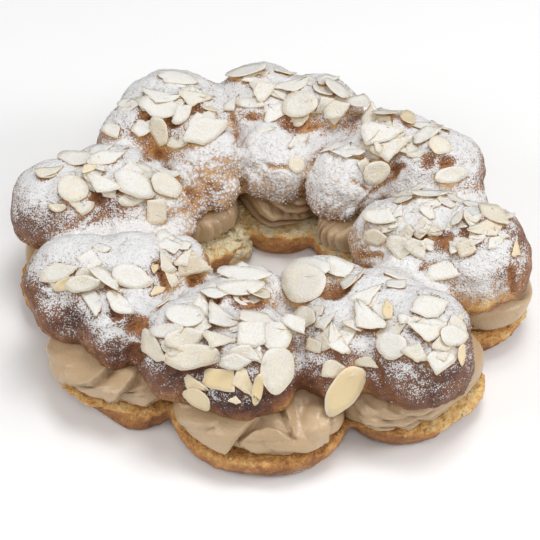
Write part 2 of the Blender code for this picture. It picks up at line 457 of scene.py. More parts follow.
def crust_relief_group():
    """Geometry group: the lumps, blisters, cracks and pores of baked choux, along the normal."""
    group, given, out = open_group(
        "crust relief",
        "GeometryNodeTree",
        {
            "Geometry": "NodeSocketGeometry",
            "Bulge Size": 0.024,
            "Bulge Height": 0.0055,
            "Lump Size": 0.012,
            "Lump Height": 0.0008,
            "Blister Size": 0.0045,
            "Blister Height": 0.0003,
            "Crack Spacing": 0.017,
            "Crack Depth": 0.0008,
            "Crumb Above": 1.0,
            "Pore Size": 0.0034,
            "Pore Depth": 0.0013,
            "Crumb Facing": 0.35,
            "Ragged": 0.0,
            "Frayed": 0.0,
            "Cut At": 0.0,
            "Level Below": -1.0,
            "Shift": 0.0,
            "Finish": "NodeSocketMaterial",
        },
        {"Geometry": "NodeSocketGeometry"},
    )
    place = add_node(group, "GeometryNodeInputPosition")[0]
    normal = add_node(group, "GeometryNodeInputNormal")[0]
    height = add_node(group, "ShaderNodeSeparateXYZ", (place,))[2]
    facing_up = add_node(group, "ShaderNodeSeparateXYZ", (normal,))[2]

    def waves(size, detail=2.0):
        return noise(group, place, size, detail, shift=given["Shift"], swing=3.0)

    lumps = waves(given["Lump Size"]) * given["Lump Height"]
    blisters = waves(given["Blister Size"]) * given["Blister Height"]
    sockets = {"Vector": place, "Scale": 140.0}
    bent = add_node(group, "ShaderNodeTexNoise", sockets, noise_dimensions="3D")[1]
    bent_place = place.vector("ADD", bent.vector("SUBTRACT", CENTRED).scaled(0.009))
    edge = cells(group, bent_place, given["Crack Spacing"], "DISTANCE_TO_EDGE")
    cracked = waves(0.022).ramp(-0.1, 0.5)
    cracks = edge[0].ramp(0.0, 0.075, 1.0, 0.0) * cracked * given["Crack Depth"]
    lobe = cells(group, bent_place, given["Bulge Size"])
    bulging = waves(0.045).ramp(-0.5, 0.5, 0.25, 1.0)
    bulges = (0.14 - lobe[0] * lobe[0]) * bulging * given["Bulge Height"]
    pore = cells(group, bent_place, given["Pore Size"])
    above = height.ramp(given["Crumb Above"], given["Crumb Above"] + 0.0015)
    crumb = facing_up.ramp(given["Crumb Facing"], given["Crumb Facing"] + 0.35) * above
    pit = pore[0].ramp(0.1, 0.6, 1.0, 0.0) * crumb
    pores = (pit - 0.35 * crumb) * given["Pore Depth"]
    rim = (1 - facing_up.ramp(0.3, 0.9)) * above
    tears = waves(0.0045, 3.0) * rim * given["Ragged"]
    off_the_cut = (height - given["Cut At"]).maths("ABSOLUTE")
    fray = waves(0.0034, 3.0) * off_the_cut.ramp(0.0002, 0.0034, 1.0, 0.0) * given["Frayed"]
    free = height.ramp(given["Level Below"], given["Level Below"] + 0.003)
    rise = (bulges + lumps + blisters - cracks - pores + tears + fray) * free
    marked = add_node(
        group,
        "GeometryNodeStoreNamedAttribute",
        {"Geometry": given["Geometry"], "Name": "pit", "Value": pit + cracks * 500},
        data_type="FLOAT",
        domain="POINT",
    )[0]
    pushed = {"Geometry": marked, "Offset": normal.scaled(rise)}
    moved = add_node(group, "GeometryNodeSetPosition", pushed)[0]
    smooth = add_node(group, "GeometryNodeSetShadeSmooth", {0: moved})[0]
    finish_geometry(group, smooth, given["Finish"], out)
    return group


# Where the lid's buns swelled or stayed back as they baked.
SWELLS = (
    # front-left bun
    Swell(-99, -54, 45, 12, 2.4),
    Swell(-76, -69, 47, 14, 2.8),
    Swell(-73, -73, 38, 10, 3.6),
    Swell(-94, -57, 38, 9, 2.6),
    Swell(-107, -42, 55, 12, 1.6),
    Swell(-86, -57, 55, 12, 1.6),
    Swell(-58, -67, 55, 7, -2.6),
    Swell(-69, -63, 60, 5, -1.6),
    # front bun
    Swell(-49, -90, 46, 13, 2.2),
    Swell(-29, -97, 44, 11, 2.0),
    Swell(-12, -103, 44, 13, 2.0),
    Swell(7, -97, 44, 12, 2.0),
    Swell(-26, -59, 67, 5, -3.4),
    Swell(-9, -61, 66, 10, -2.0),
    Swell(-33, -37, 55, 6, -3.4),
    Swell(-60, -74, 45, 6, -2.0),
    # front-right bun
    Swell(19, -88, 49, 12, 2.0),
    Swell(28, -92, 42, 8, 1.6),
    Swell(50, -91, 43, 9, 1.8),
    Swell(68, -95, 49, 18, 2.2),
    Swell(86, -86, 52, 14, 1.6),
    Swell(29, -52, 65, 9, -3.4),
    Swell(75, -60, 70, 5, -2.4),
    # right bun
    Swell(50, -22, 50, 11, 1.8),
    Swell(97, -37, 41, 14, 2.0),
    Swell(113, -26, 55, 12, 1.8),
    Swell(95, -34, 54, 9, 1.4),
    Swell(69, -18, 64, 6, -2.4),
    Swell(80, -21, 64, 7, -2.6),
    Swell(90, -19, 67, 5, -2.0),
    Swell(98, -15, 69, 6, -2.4),
    # back-right bun
    Swell(32, 25, 46, 15, 2.2),
    Swell(52, 15, 52, 12, 1.8),
    Swell(99, 30, 50, 11, 1.8),
    Swell(84, 31, 64, 5, -2.0),
    Swell(75, 33, 63, 5, -1.6),
    # back bun
    Swell(8, 35, 46, 16, 2.0),
    Swell(-9, 37, 44, 10, 1.8),
    Swell(11, 61, 63, 9, -2.2),
    Swell(-10, 52, 58, 6, 2.2),
    Swell(-9, 44, 54, 6, 2.0),
    # back-left bun
    Swell(-38, 34, 54, 15, 2.0),
    Swell(-26, 35, 42, 12, 4.5),
    Swell(-21, 50, 61, 7, 1.8),
    Swell(-20, 42, 57, 7, 2.4),
    Swell(-55, 36, 52, 11, 1.6),
    Swell(-37, 65, 70, 7, -2.4),
    Swell(-61, 60, 66, 6, -2.2),
    Swell(-48, 57, 67, 5, -1.8),
    # left bun
    Swell(-114, 4, 52, 14, 2.0),
    Swell(-90, -2, 52, 15, 2.2),
    Swell(-66, 2, 49, 13, 2.0),
    Swell(-46, 10, 50, 12, 1.8),
    Swell(-44, 7, 43, 11, 3.2),
    Swell(-80, 8, 62, 6, -1.8),
)


# Creases between buns, and cracks in them: points in millimetres, how wide, and how deep.
Crease = namedtuple("Crease", "points width depth")
CREASES = (
    Crease(((-20, 68, 60), (-17, 60, 57), (-16, 52, 56)), 1.3, 2.2),
    Crease(((-16, 52, 56), (-15, 45, 54), (-14, 39, 49), (-12, 37, 34)), 1.4, 4.2),
    Crease(((26, 54, 57), (22, 47, 56), (18, 40, 55)), 1.6, 2.0),
    Crease(((18, 40, 55), (16, 35, 50), (15, 35, 34)), 1.7, 4.0),
    Crease(((60, 34, 55), (55, 31, 49), (49, 27, 48), (44, 23, 44), (41, 22, 35)), 1.6, 2.6),
    Crease(((39, 38, 62), (45, 38, 61), (50, 35, 58), (55, 35, 54), (59, 35, 56), (63, 34, 59)), 1.6, 2.4),
    Crease(((-12, 65, 62), (-2, 64, 63), (8, 62, 62), (17, 59, 60), (22, 60, 60)), 2.2, 2.2),
    Crease(((-12, 45, 53), (-7, 43, 52), (-1, 38, 55), (7, 37, 55)), 1.3, 1.4),
    Crease(((-83, 10, 60), (-85, 5, 59), (-87, 1, 56), (-92, -2, 54), (-99, -5, 50)), 1.8, 2.4),
    Crease(((-86, 14, 66), (-79, 11, 61), (-70, 12, 64)), 1.9, 2.0),
    Crease(((-72, 14, 65), (-63, 13, 62), (-57, 11, 58)), 1.6, 1.8),
    Crease(((-61, 48, 55), (-58, 40, 59), (-61, 31, 64)), 2.6, 1.6),
    Crease(((-57, 49, 54), (-53, 43, 54), (-49, 33, 60), (-46, 28, 61), (-42, 23, 60)), 2.2, 3.6),
    Crease(((-42, 23, 60), (-39, 20, 55), (-37, 21, 49), (-35, 22, 41)), 2.0, 3.0),
    Crease(((28, 43, 60), (31, 39, 61), (35, 36, 61)), 1.2, 1.8),
    Crease(((37, 29, 57), (42, 26, 55), (46, 26, 51)), 1.2, 1.8),
    Crease(((88, -21, 66), (93, -17, 67), (98, -18, 67)), 2.2, 2.2),
    Crease(((75, -19, 64), (84, -20, 64), (83, -24, 61)), 2.2, 2.4),
    Crease(((94, -25, 65), (92, -28, 63), (85, -27, 61)), 1.5, 1.6),
    Crease(((43, -1, 57), (47, -5, 61), (55, -8, 64)), 1.3, 1.4),
    Crease(((41, -12, 44), (46, -15, 48), (51, -18, 51)), 1.4, 1.6),
    Crease(((64, -17, 63), (69, -17, 62), (74, -18, 64)), 1.5, 1.6),
    Crease(((69, -30, 56), (74, -29, 56), (76, -28, 57)), 1.6, 1.6),
    Crease(((111, -31, 55), (112, -33, 49), (113, -33, 42)), 1.6, 2.2),
    Crease(((-51, -38, 66), (-49, -41, 62), (-47, -45, 56), (-42, -54, 60)), 2.0, 2.2),
    Crease(((-79, -46, 64), (-72, -50, 63), (-65, -54, 62)), 1.3, 1.4),
    Crease(((-50, -38, 65), (-43, -36, 61), (-38, -32, 59)), 1.4, 1.6),
    Crease(((46, -82, 58), (48, -90, 52), (51, -94, 45), (54, -95, 38)), 1.8, 1.8),
)


def off_the_line(places, points):
    """How far each place is from a line through points."""
    gap = np.full(len(places), FAR_OFF)
    corners = np.array(points, float)
    for start, end in zip(corners, corners[1:]):
        ahead = end - start
        share = np.clip((places - start) @ ahead / (ahead @ ahead), 0, 1)
        gap = np.minimum(gap, np.linalg.norm(places - start - share[:, None] * ahead, axis=1))
    return gap


# Where the lower ends of the buns reach further over the hole.
REACHING = (
    Swell(28, 29, 37, 14, -6.5),
    Swell(44, 23, 38, 10, -7.0),
    Swell(22, 36, 36, 8, -4.0),
    Swell(-32, 29, 37, 12, -6.5),
    Swell(-43, 6, 38, 14, -6.5),
)


def swell(mesh):
    """Raises the swellings and sinks the hollows and creases, and marks how sheltered those are.

    Neighbouring swellings meet in a fold."""
    press(mesh, REACHING)
    places = vertex_array(mesh) / MM
    normals = vertex_array(mesh, "normal")
    raised = np.zeros(len(places))
    sunk = np.zeros(len(places))
    sheltered = np.zeros(len(places))
    for item in SWELLS:
        share = np.clip(1 - (distance_from(places, item) / item.radius) ** 2, 0, 1)
        if item.height > 0:
            raised = np.maximum(raised, share * item.height)
        else:
            sunk += share**1.5 * item.height
            sheltered = np.maximum(sheltered, share)
    for crease in CREASES:
        gap = off_the_line(places, crease.points)
        sunk -= np.exp(-((gap / crease.width) ** 2)) * crease.depth
        sheltered = np.maximum(sheltered, np.exp(-((gap / (crease.width * 0.6)) ** 2)))
    write_attribute(mesh, "sheltered", sheltered)
    move_vertices(mesh, places + normals * (raised + sunk)[:, None])


# The base's torn rims, each through points in millimetres from left to right as seen from outside:
# how far the rim stands out, and how far the wall below it falls back.
Fringe = namedtuple("Fringe", "points rise drop")
FRINGES = (
    Fringe(
        (
            (-108, -52, 10), (-101, -62, 9), (-97, -66, 11), (-90, -72, 10), (-85, -76, 11),
            (-79, -77, 12), (-74, -78, 11.5), (-68, -79, 12), (-64, -80, 12), (-60, -81, 11),
            (-56, -83, 9), (-53, -81, 11), (-48, -78, 12),
        ),
        1.0,
        0.8,
    ),
    Fringe(((80, -84, 10), (90, -78, 9), (98, -70, 10), (104, -60, 8), (108, -52, 10)), 0.8, 0.8),
    Fringe(((98, -48, 9), (106, -42, 7), (112, -34, 10), (117, -26, 7), (120, -16, 9)), 1.2, 1.2),
)
# How far the base's wall was drawn out, or back, at its foot and at its rim: a place on the rim,
# and millimetres.
Drawn = namedtuple("Drawn", "x y foot rim")
DRAWN = (
    Drawn(-97, -64, 0.0, 2.4),
    Drawn(-88, -72, -2.0, 1.4),
    Drawn(-80, -77, -1.5, 0.0),
    Drawn(-72, -80, 1.0, -3.0),
    Drawn(-64, -82, 4.0, -3.8),
    Drawn(-56, -82, 7.5, 0.0),
    Drawn(-50, -80, 6.5, -1.0),
    Drawn(98, -52, -3.5, -3.0),
    Drawn(84, -84, -1.5, -1.5),
)
DRAWN_APART = 7.0
# How high the wall's foot ends, and how far above that it has turned into the rim, in millimetres.
FOOT_HEIGHT = 3
RIM_ABOVE_FOOT = 10
# How far a torn rim is felt along the wall, how far its torn look spreads, and how soft its edge is.
FRINGE_REACH = 6
TORN_REACH = 9
FRINGE_SOFTNESS = 1.2


def draw_wall(mesh):
    """Leans the base's wall out and in along its length."""
    places = vertex_array(mesh) / MM
    total = np.zeros(len(places))
    moves = np.zeros_like(places)
    up = np.clip((places[:, 2] - FOOT_HEIGHT) / RIM_ABOVE_FOOT, 0, 1)
    for item in DRAWN:
        gap = np.hypot(places[:, 0] - item.x, places[:, 1] - item.y)
        share = np.exp(-((gap / DRAWN_APART) ** 2))
        amount = share * (item.foot * (1 - up) + item.rim * up)
        moves += amount[:, None] * np.array(outward_from_ring(item.x, item.y))
        total += share
    move_vertices(mesh, places + moves / np.maximum(total, 1)[:, None])


def fray_base(mesh):
    """Draws the base out and in where it baked so, and tears its rims."""
    draw_wall(mesh)
    places = vertex_array(mesh) / MM
    sideways = vertex_array(mesh, "normal") * (1, 1, 0)
    torn = np.zeros(len(places))
    for fringe in FRINGES:
        gap = off_the_line(places, fringe.points)
        corners = np.array(fringe.points, float)
        across = np.linalg.norm(places[:, None, :2] - corners[None, :, :2], axis=2)
        nearest = np.argmin(across, axis=1)
        above = np.clip((places[:, 2] - corners[nearest, 2]) / FRINGE_SOFTNESS + 0.5, 0, 1)
        near = np.exp(-((gap / FRINGE_REACH) ** 2))
        moved = near * (fringe.rise * above - fringe.drop * (1 - above))
        places = places + sideways * moved[:, None]
        torn = np.maximum(torn, above * np.exp(-((gap / TORN_REACH) ** 4)))
    places[:, 2] = np.maximum(places[:, 2], 0)
    write_attribute(mesh, "torn", torn)
    move_vertices(mesh, places)


def crust(name, node, voxel, smoothing, shape, group, relief):
    """A finished crust around one half of the crown, with its baked surface as real relief."""
    obj = merged_copy(node, name)
    rounder = obj.modifiers.new("round", "SUBSURF")
    rounder.levels = rounder.render_levels = 2
    even_skin(obj, voxel, smoothing)
    shape(obj.data)
    return shape_by_nodes(obj, group, relief)


# ---------------------------------------------------------------- cream


def cream_group():
    """Geometry group: one dollop, folded by a star nozzle and spread over a wedge of the ring."""
    group, given, out = open_group(
        "piped dollop",
        "GeometryNodeTree",
        {
            "Starts": 0.0,
            "Ends": 45.0,
            "Inner": 34.0,
            "Middle": CREAM_MIDDLE,
            "Outer": 110.0,
            "Floor": 0.0145,
            "Ceiling": 0.034,
            "Folds": 10.0,
            "Lean": 0.5,
            "Fan": 0.0,
            "Gather": 0.0,
            "Depth": 0.12,
            "Crest": 0.6,
            "Lap": 0.2,
            "Phase": 0.0,
            "Seed": 0.0,
            "Finish": "NodeSocketMaterial",
        },
        {"Geometry": "NodeSocketGeometry"},
    )
    grid = add_node(
        group,
        "GeometryNodeMeshGrid",
        {"Size X": 1.0, "Size Y": 1.0, "Vertices X": CREAM_STEPS + 1, "Vertices Y": CREAM_LEVELS + 1},
    )[0]
    place = add_node(group, "GeometryNodeInputPosition")[0]
    across, along, _ = add_node(group, "ShaderNodeSeparateXYZ", (place,))
    turn = across * math.tau
    tier = (along + 0.5) * math.pi

    def squared(value, power):
        sign = value.maths("SIGN")
        return value.maths("ABSOLUTE") ** power * sign

    reach_out = squared(tier.maths("SINE"), 2 / 3.4)
    height = (1 - squared(tier.maths("COSINE"), 2 / 3.0)) * 0.5
    wander = combine(group, turn.maths("COSINE"), turn.maths("SINE"), height * 0.7)
    uneven = add_node(
        group,
        "ShaderNodeTexNoise",
        {"Vector": wander, "W": given["Seed"], "Scale": 1.3, "Detail": 1.0},
        noise_dimensions="4D",
    )[0] - 0.5
    gathered = (turn - given["Gather"] * (math.pi / 180)).maths("SINE")
    sway = (height - 0.5) * (given["Lean"] + given["Fan"] * gathered)
    fold = (turn * given["Folds"] / math.tau + given["Phase"] + sway + uneven * 1.6).maths("FRACT")
    climb = fold / given["Crest"]
    fall = (1 - fold) / (1 - given["Crest"])
    crest = (climb.maths("MINIMUM", fall) * (math.pi / 2)).maths("SINE") ** 0.85
    fine = (fold * math.tau * 4).maths("COSINE") * 0.035
    square_x = turn.maths("COSINE").maths("ABSOLUTE") ** CREAM_SQUARENESS
    square_y = turn.maths("SINE").maths("ABSOLUTE") ** CREAM_SQUARENESS
    squarer = (square_x + square_y) ** (-1 / CREAM_SQUARENESS)
    plump = 1 + uneven * 0.10
    relief = 1 - given["Depth"] * (1 - crest + fine)
    lapped = turn + crest * given["Lap"] * math.tau / given["Folds"].maths("MAXIMUM", 5.0)
    out_by = reach_out * squarer * relief * plump
    plan_x = lapped.maths("COSINE") * out_by
    plan_y = lapped.maths("SINE") * out_by * 0.985
    outward_half = given["Outer"] - given["Middle"]
    inward_half = given["Middle"] - given["Inner"]
    is_out = plan_x.maths("GREATER_THAN", 0.0)
    half_long = inward_half + (outward_half - inward_half) * is_out
    reach = (given["Middle"] + half_long * plan_x) * MM
    half_turn = (given["Ends"] - given["Starts"]) * 0.5
    bearing = (given["Starts"] + half_turn * (1 + plan_y)) * (math.pi / 180)
    x = reach * bearing.maths("COSINE") * RING_STRETCH + RING_CENTRE.x
    y = reach * bearing.maths("SINE") + RING_CENTRE.y
    z = given["Floor"] + (given["Ceiling"] - given["Floor"]) * height
    spot = combine(group, x, y, z)
    shaped = add_node(group, "GeometryNodeSetPosition", {"Geometry": grid, "Position": spot})[0]
    seams = {"Geometry": shaped, "Distance": SAME_PLACE}
    closed = add_node(group, "GeometryNodeMergeByDistance", seams)[0]
    smooth = add_node(group, "GeometryNodeSetShadeSmooth", {0: closed})[0]
    finish_geometry(group, smooth, given["Finish"], out)
    return group


def off_the_lip(places, normals, points):
    """How far each place is from a fold's line, how far to its left, and how faded the fold is."""
    nearest = np.full(len(places), FAR_OFF)
    signed = np.zeros(len(places))
    fade = np.zeros(len(places))
    corners = np.array(points, float)
    for number, (start, end) in enumerate(zip(corners, corners[1:])):
        length = np.linalg.norm(end - start)
        ahead = (end - start) / length
        along = (places - start) @ ahead
        past = np.zeros(len(places))
        if number == 0:
            past = np.maximum(past, -along)
        if number == len(corners) - 2:
            past = np.maximum(past, along - length)
        foot = start + np.clip(along, 0, length)[:, None] * ahead
        away = places - foot
        away -= normals * (away * normals).sum(axis=1)[:, None]
        gap = np.linalg.norm(away - ahead * (away @ ahead)[:, None], axis=1)
        whole = np.hypot(gap, np.maximum(-along, 0) + np.maximum(along - length, 0))
        side = np.sign((np.cross(normals, ahead) * away).sum(axis=1))
        closer = whole < nearest
        nearest[closer] = whole[closer]
        signed[closer] = (side * gap)[closer]
        fade[closer] = np.exp(-((past / LIP_FADE) ** 2))[closer]
    return nearest, signed, fade


def fold_lips(mesh, lips):
    """Raises and creases a dollop's skin along its listed folds."""
    places = vertex_array(mesh) / MM
    normals = vertex_array(mesh, "normal")
    relief = np.zeros(len(places))
    for lip in lips:
        nearest, signed, fade = off_the_lip(places, normals, lip.points)
        high = lip.rise * np.exp(-np.abs(signed) / lip.back)
        low = -lip.drop * np.exp(-np.abs(signed) / lip.width)
        share = np.clip(signed / LIP_SHARP * 0.5 + 0.5, 0, 1)
        share = share * share * (3 - 2 * share)
        reach = np.exp(-((nearest / LIP_REACH) ** 4))
        relief += fade * reach * (high * share + low * (1 - share))
    # The folds flatten out where the cream is pressed on to the base.
    relief *= LIP_RELIEF * np.interp(places[:, 2], (15, 19), (0.2, 1))
    move_vertices(mesh, places + normals * relief[:, None])


def pipe_cream(cream):
    """All eight dollops, each squeezed between the two halves of the crown."""
    group = cream_group()
    pieces = []
    for number, dollop in enumerate(DOLLOPS, start=1):
        obj = make_object(f"praline_{number}", bpy.data.meshes.new("praline"))
        inputs = {label.title(): float(value) for label, value in dollop._asdict().items()}
        inputs["Middle"] = CREAM_MIDDLE
        inputs["Floor"] = BASE_TOP - CREAM_PRESS
        inputs["Ceiling"] = LID_FLOOR + CREAM_PRESS
        inputs["Seed"] = number * 7.3
        inputs["Finish"] = cream
        shape_by_nodes(obj, group, inputs)
        outward(obj.data)
        press(obj.data, PRESSED.get(number, ()))
        fold_lips(obj.data, LIPS.get(number, ()))
        pieces.append(obj)
    squeezed = joined_tree([piece.data for piece in pieces])
    for piece in pieces:
        # How closed in each vertex is by the folds near it, for the painted shade in the cream's creases.
        fold_shade = 1 - openness(piece.data, squeezed, FOLD_REACH)
        write_attribute(piece.data, "folded", np.clip(fold_shade * 2.2, 0, 1))
    return pieces


# ---------------------------------------------------------------- materials

SUGAR_ROUGHNESS = 0.92


def new_material(name, roughness):
    """A material with a Principled BSDF whose steady values sit on the shader's own sockets."""
    material = bpy.data.materials.new(name)
    material.use_nodes = True
    shader = material.node_tree.nodes["Principled BSDF"]
    shader.inputs["Roughness"].default_value = roughness
    return material, material.node_tree, shader


def object_place(tree):
    """The place on the object itself, in metres."""
    return add_node(tree, "ShaderNodeTexCoord")[3]


def attribute(tree, name):
    return add_node(tree, "ShaderNodeAttribute", attribute_name=name)[2]


def add_bump(tree, shader, height, distance):
    sockets = {"Height": height, "Distance": distance, "Strength": 1.0}
    plug(tree, shader.inputs["Normal"], add_node(tree, "ShaderNodeBump", sockets)[0])


def browning_group():
    """Shader group: the colour of baked choux, from pale crumb to dark brown, and its fine pitting."""
    group, given, out = open_group(
        "browning",
        "ShaderNodeTree",
        {"Bake": 0.5, "Patchiness": 0.25, "Crumb": 0.0},
        {"Color": "NodeSocketColor", "Height": "NodeSocketFloat"},
    )
    place = object_place(group)
    patches = noise(group, place, 0.016)
    mottle = noise(group, place, 0.0035, detail=3.0)
    grain = noise(group, place, 0.0009, detail=2.0)
    uneven = (patches * 0.50 + mottle * 0.42 + grain * 0.30) * given["Patchiness"]
    stops = (
        (0.0, (0.80, 0.71, 0.48)),
        (0.12, (0.81, 0.56, 0.24)),
        (0.27, (0.65, 0.34, 0.11)),
        (0.45, (0.41, 0.18, 0.064)),
        (0.65, (0.235, 0.095, 0.041)),
        (0.85, (0.140, 0.052, 0.029)),
        (1.0, (0.050, 0.020, 0.016)),
    )
    layered = place.vector("MULTIPLY", (1.0, 1.0, 3.2))
    streaks = noise(group, layered, 0.0045, detail=4.0, roughness=0.65)
    bent = place.vector("ADD", noise_colour(group, place, 0.003).scaled(0.0016))
    pores = cells(group, bent, 0.0024)[0].ramp(0.08, 0.40, 1.0, 0.0)
    open_crumb = (streaks * 0.55 + pores * 0.7) * given["Crumb"]
    skin = colour_ramp(group, given["Bake"] + uneven + open_crumb * 0.10, stops)
    plug(group, out.inputs["Color"], skin)
    pits = cells(group, place, 0.0016)[0].ramp(0.1, 0.5)
    plug(group, out.inputs["Height"], pits * 0.4 + mottle * 0.4 + grain * 0.2 - open_crumb * 1.0)
    return group


def dusting_group():
    """Shader group: icing sugar over a colour, thick where Sugar is high and speckled where low."""
    group, given, out = open_group(
        "icing sugar dusting",
        "ShaderNodeTree",
        {
            "Under": (0.3, 0.15, 0.05),
            "Sugar": 0.5,
            "Speck": 0.0007,
            "Clump": 0.0035,
            "Coarse": 0.0,
            "Thin": (0.64, 0.585, 0.55),
            "Thick": (0.785, 0.79, 0.795),
        },
        {"Color": "NodeSocketColor", "Cover": "NodeSocketFloat", "Height": "NodeSocketFloat"},
    )
    place = object_place(group)

    def waves(size, detail):
        sockets = {"Vector": place, "Scale": 1 / size, "Detail": detail, "Roughness": 0.6}
        value = add_node(group, "ShaderNodeTexNoise", sockets, noise_dimensions="3D")[0]
        return (value - 0.5) * NOISE_SWING

    def dots(size):
        spot = cells(group, place, size)
        luck = add_node(group, "ShaderNodeSeparateColor", (spot[1],))[0]
        return 0.30 - spot[0] * 0.80 + (luck - 0.5) * 0.20

    specks = waves(given["Speck"], 1.0)
    fine = dots(0.0008) * 0.85 + specks * 0.30
    coarse = dots(0.0015) * 1.25 + specks * 0.18
    clumps = waves(given["Clump"], 2.0)
    drifts = waves(given["Clump"] * 3.0, 2.0)
    level = given["Sugar"] + clumps * (0.14 - given["Coarse"] * 0.06) + drifts * 0.14
    level = level + fine * (1 - given["Coarse"]) + coarse * given["Coarse"]
    cover = level.ramp(0.34, 0.56)
    haze = given["Sugar"].ramp(0.15, 1.0) * (0.16 + given["Coarse"] * 0.30)
    share = (cover * 0.96).maths("MAXIMUM", haze)
    thick = mix_colour(group, level.ramp(0.38, 0.95), given["Thin"], given["Thick"])
    plug(group, out.inputs["Color"], mix_colour(group, share, given["Under"], thick))
    plug(group, out.inputs["Cover"], cover)
    plug(group, out.inputs["Height"], cover * (0.5 + fine * 0.5 + clumps * 0.4))
    return group


def crust_material(name, browning, dusting, patchiness, roughness):
    """Baked choux under icing sugar, by the mesh's own marks for browning, crumb and sugar."""
    material, tree, shader = new_material(name, roughness)
    crust_colour = use_group(
        tree,
        browning,
        {
            "Bake": attribute(tree, "bake"),
            "Patchiness": patchiness,
            "Crumb": attribute(tree, "crumb"),
        },
    )
    dusted = use_group(
        tree,
        dusting,
        {
            "Under": crust_colour["Color"],
            "Sugar": attribute(tree, "sugar"),
            "Coarse": attribute(tree, "coarse"),
        },
    )
    plug(tree, shader.inputs["Base Color"], dusted["Color"])
    matt = dusted["Cover"].ramp(0.0, 0.6, roughness, SUGAR_ROUGHNESS)
    plug(tree, shader.inputs["Roughness"], matt)
    height = crust_colour["Height"] * 0.8 + dusted["Height"] * 0.5
    shader.inputs["Specular IOR Level"].default_value = 0.3
    add_bump(tree, shader, height, 0.0009)
    return material


def almond_material(dusting):
    """Flaked almond: ivory, yellower and toasted at the rim, under its dusting of sugar, and dark tan
    underneath, partly toasted and partly painted contact shadow.
    """
    material, tree, shader = new_material("flaked almond", 0.55)
    place = object_place(tree)
    rim = attribute(tree, "rim")
    bare = attribute(tree, "bare")
    toasted = attribute(tree, "tint")
    clouds = noise(tree, place, 0.006)
    grain = noise(tree, place, 0.0012, detail=3.0)
    ivory = mix_colour(tree, toasted, (0.84, 0.78, 0.64), (0.80, 0.70, 0.52))
    inside = rim.ramp(0.45, 0.85, 1.0, 0.3)
    yellowed = (bare * inside * 0.85 + clouds * 0.2 + grain * 0.12).ramp(0.0, 1.0)
    flesh = mix_colour(tree, yellowed, ivory, (0.80, 0.62, 0.34))
    edge = (rim + grain * 0.15).ramp(0.80, 1.15) * 0.75
    swept = rim.ramp(0.72, 0.86) * 0.34
    flesh = mix_colour(tree, edge, flesh, (0.70, 0.50, 0.25))
    dusted = use_group(
        tree,
        dusting,
        {
            "Under": flesh,
            "Sugar": attribute(tree, "sugar") - swept,
            "Clump": 0.0045,
            "Thin": (0.72, 0.68, 0.60),
            "Thick": (0.775, 0.765, 0.735),
        },
    )
    # Painted contact shadow: the underside and lowest rim of the flake turn dark tan, partly the toasted
    # almond and partly shadow where it meets the crust.
    below = attribute(tree, "below").ramp(0.35, 0.95)
    toasted_and_shadowed = mix_colour(tree, below, dusted["Color"], (0.44, 0.26, 0.115))
    plug(tree, shader.inputs["Base Color"], toasted_and_shadowed)
    matt = dusted["Cover"].ramp(0.0, 0.6, 0.5, SUGAR_ROUGHNESS)
    plug(tree, shader.inputs["Roughness"], matt)
    add_bump(tree, shader, dusted["Height"] * 0.8 + grain * 0.3, 0.0003)
    return material


def cream_material():
    """Praline cream: beige, close and smooth, with a few specks of ground nut and painted shade in its folds.
    """
    material, tree, shader = new_material("praline cream", 0.34)
    shader.inputs["Subsurface Weight"].default_value = 0.05
    shader.inputs["Subsurface Radius"].default_value = (0.004, 0.0025, 0.0015)
    shader.inputs["Coat Weight"].default_value = 0.3
    shader.inputs["Coat Roughness"].default_value = 0.2
    place = object_place(tree)
    clouds = noise(tree, place, 0.018)
    grain = noise(tree, place, 0.0012, detail=3.0)
    nut = cells(tree, place, 0.0045)
    specks = nut[0].ramp(0.06, 0.12, 1.0, 0.0)
    uneven = (clouds * 0.5 + 0.5 + grain * 0.15).ramp(0.0, 1.0)
    body = mix_colour(tree, uneven, (0.47, 0.325, 0.188), (0.57, 0.41, 0.245))
    # Painted shade: the cream turns dark brown where its folds close in on each other.
    body = mix_colour(tree, attribute(tree, "folded") * 0.85, body, (0.30, 0.17, 0.082))
    body = mix_colour(tree, specks * 0.35, body, (0.36, 0.20, 0.09))
    plug(tree, shader.inputs["Base Color"], body)
    add_bump(tree, shader, grain, 0.00012)
    return material


def sugar_material():
    """Icing sugar in clumps: matt white, a little greyer here and there."""
    material, tree, shader = new_material("icing sugar", 0.9)
    place = object_place(tree)
    uneven = (noise(tree, place, 0.0012) * 0.5 + 0.5).ramp(0.0, 1.0)
    white = mix_colour(tree, uneven, (0.73, 0.715, 0.70), (0.85, 0.845, 0.84))
    plug(tree, shader.inputs["Base Color"], white)
    add_bump(tree, shader, noise(tree, place, 0.0003), 0.0001)
    return material


def crumb_material():
    """Loose crumbs of choux: straw to golden brown."""
    material, tree, shader = new_material("loose crumbs", 0.7)
    place = object_place(tree)
    stops = ((0.0, (0.76, 0.60, 0.32)), (0.5, (0.62, 0.38, 0.14)), (1.0, (0.34, 0.15, 0.05)))
    shade = noise(tree, place, 0.004) * 0.5 + 0.4
    plug(tree, shader.inputs["Base Color"], colour_ramp(tree, shade, stops))
    add_bump(tree, shader, noise(tree, place, 0.0006), 0.0003)
    return material


# ---------------------------------------------------------------- almonds

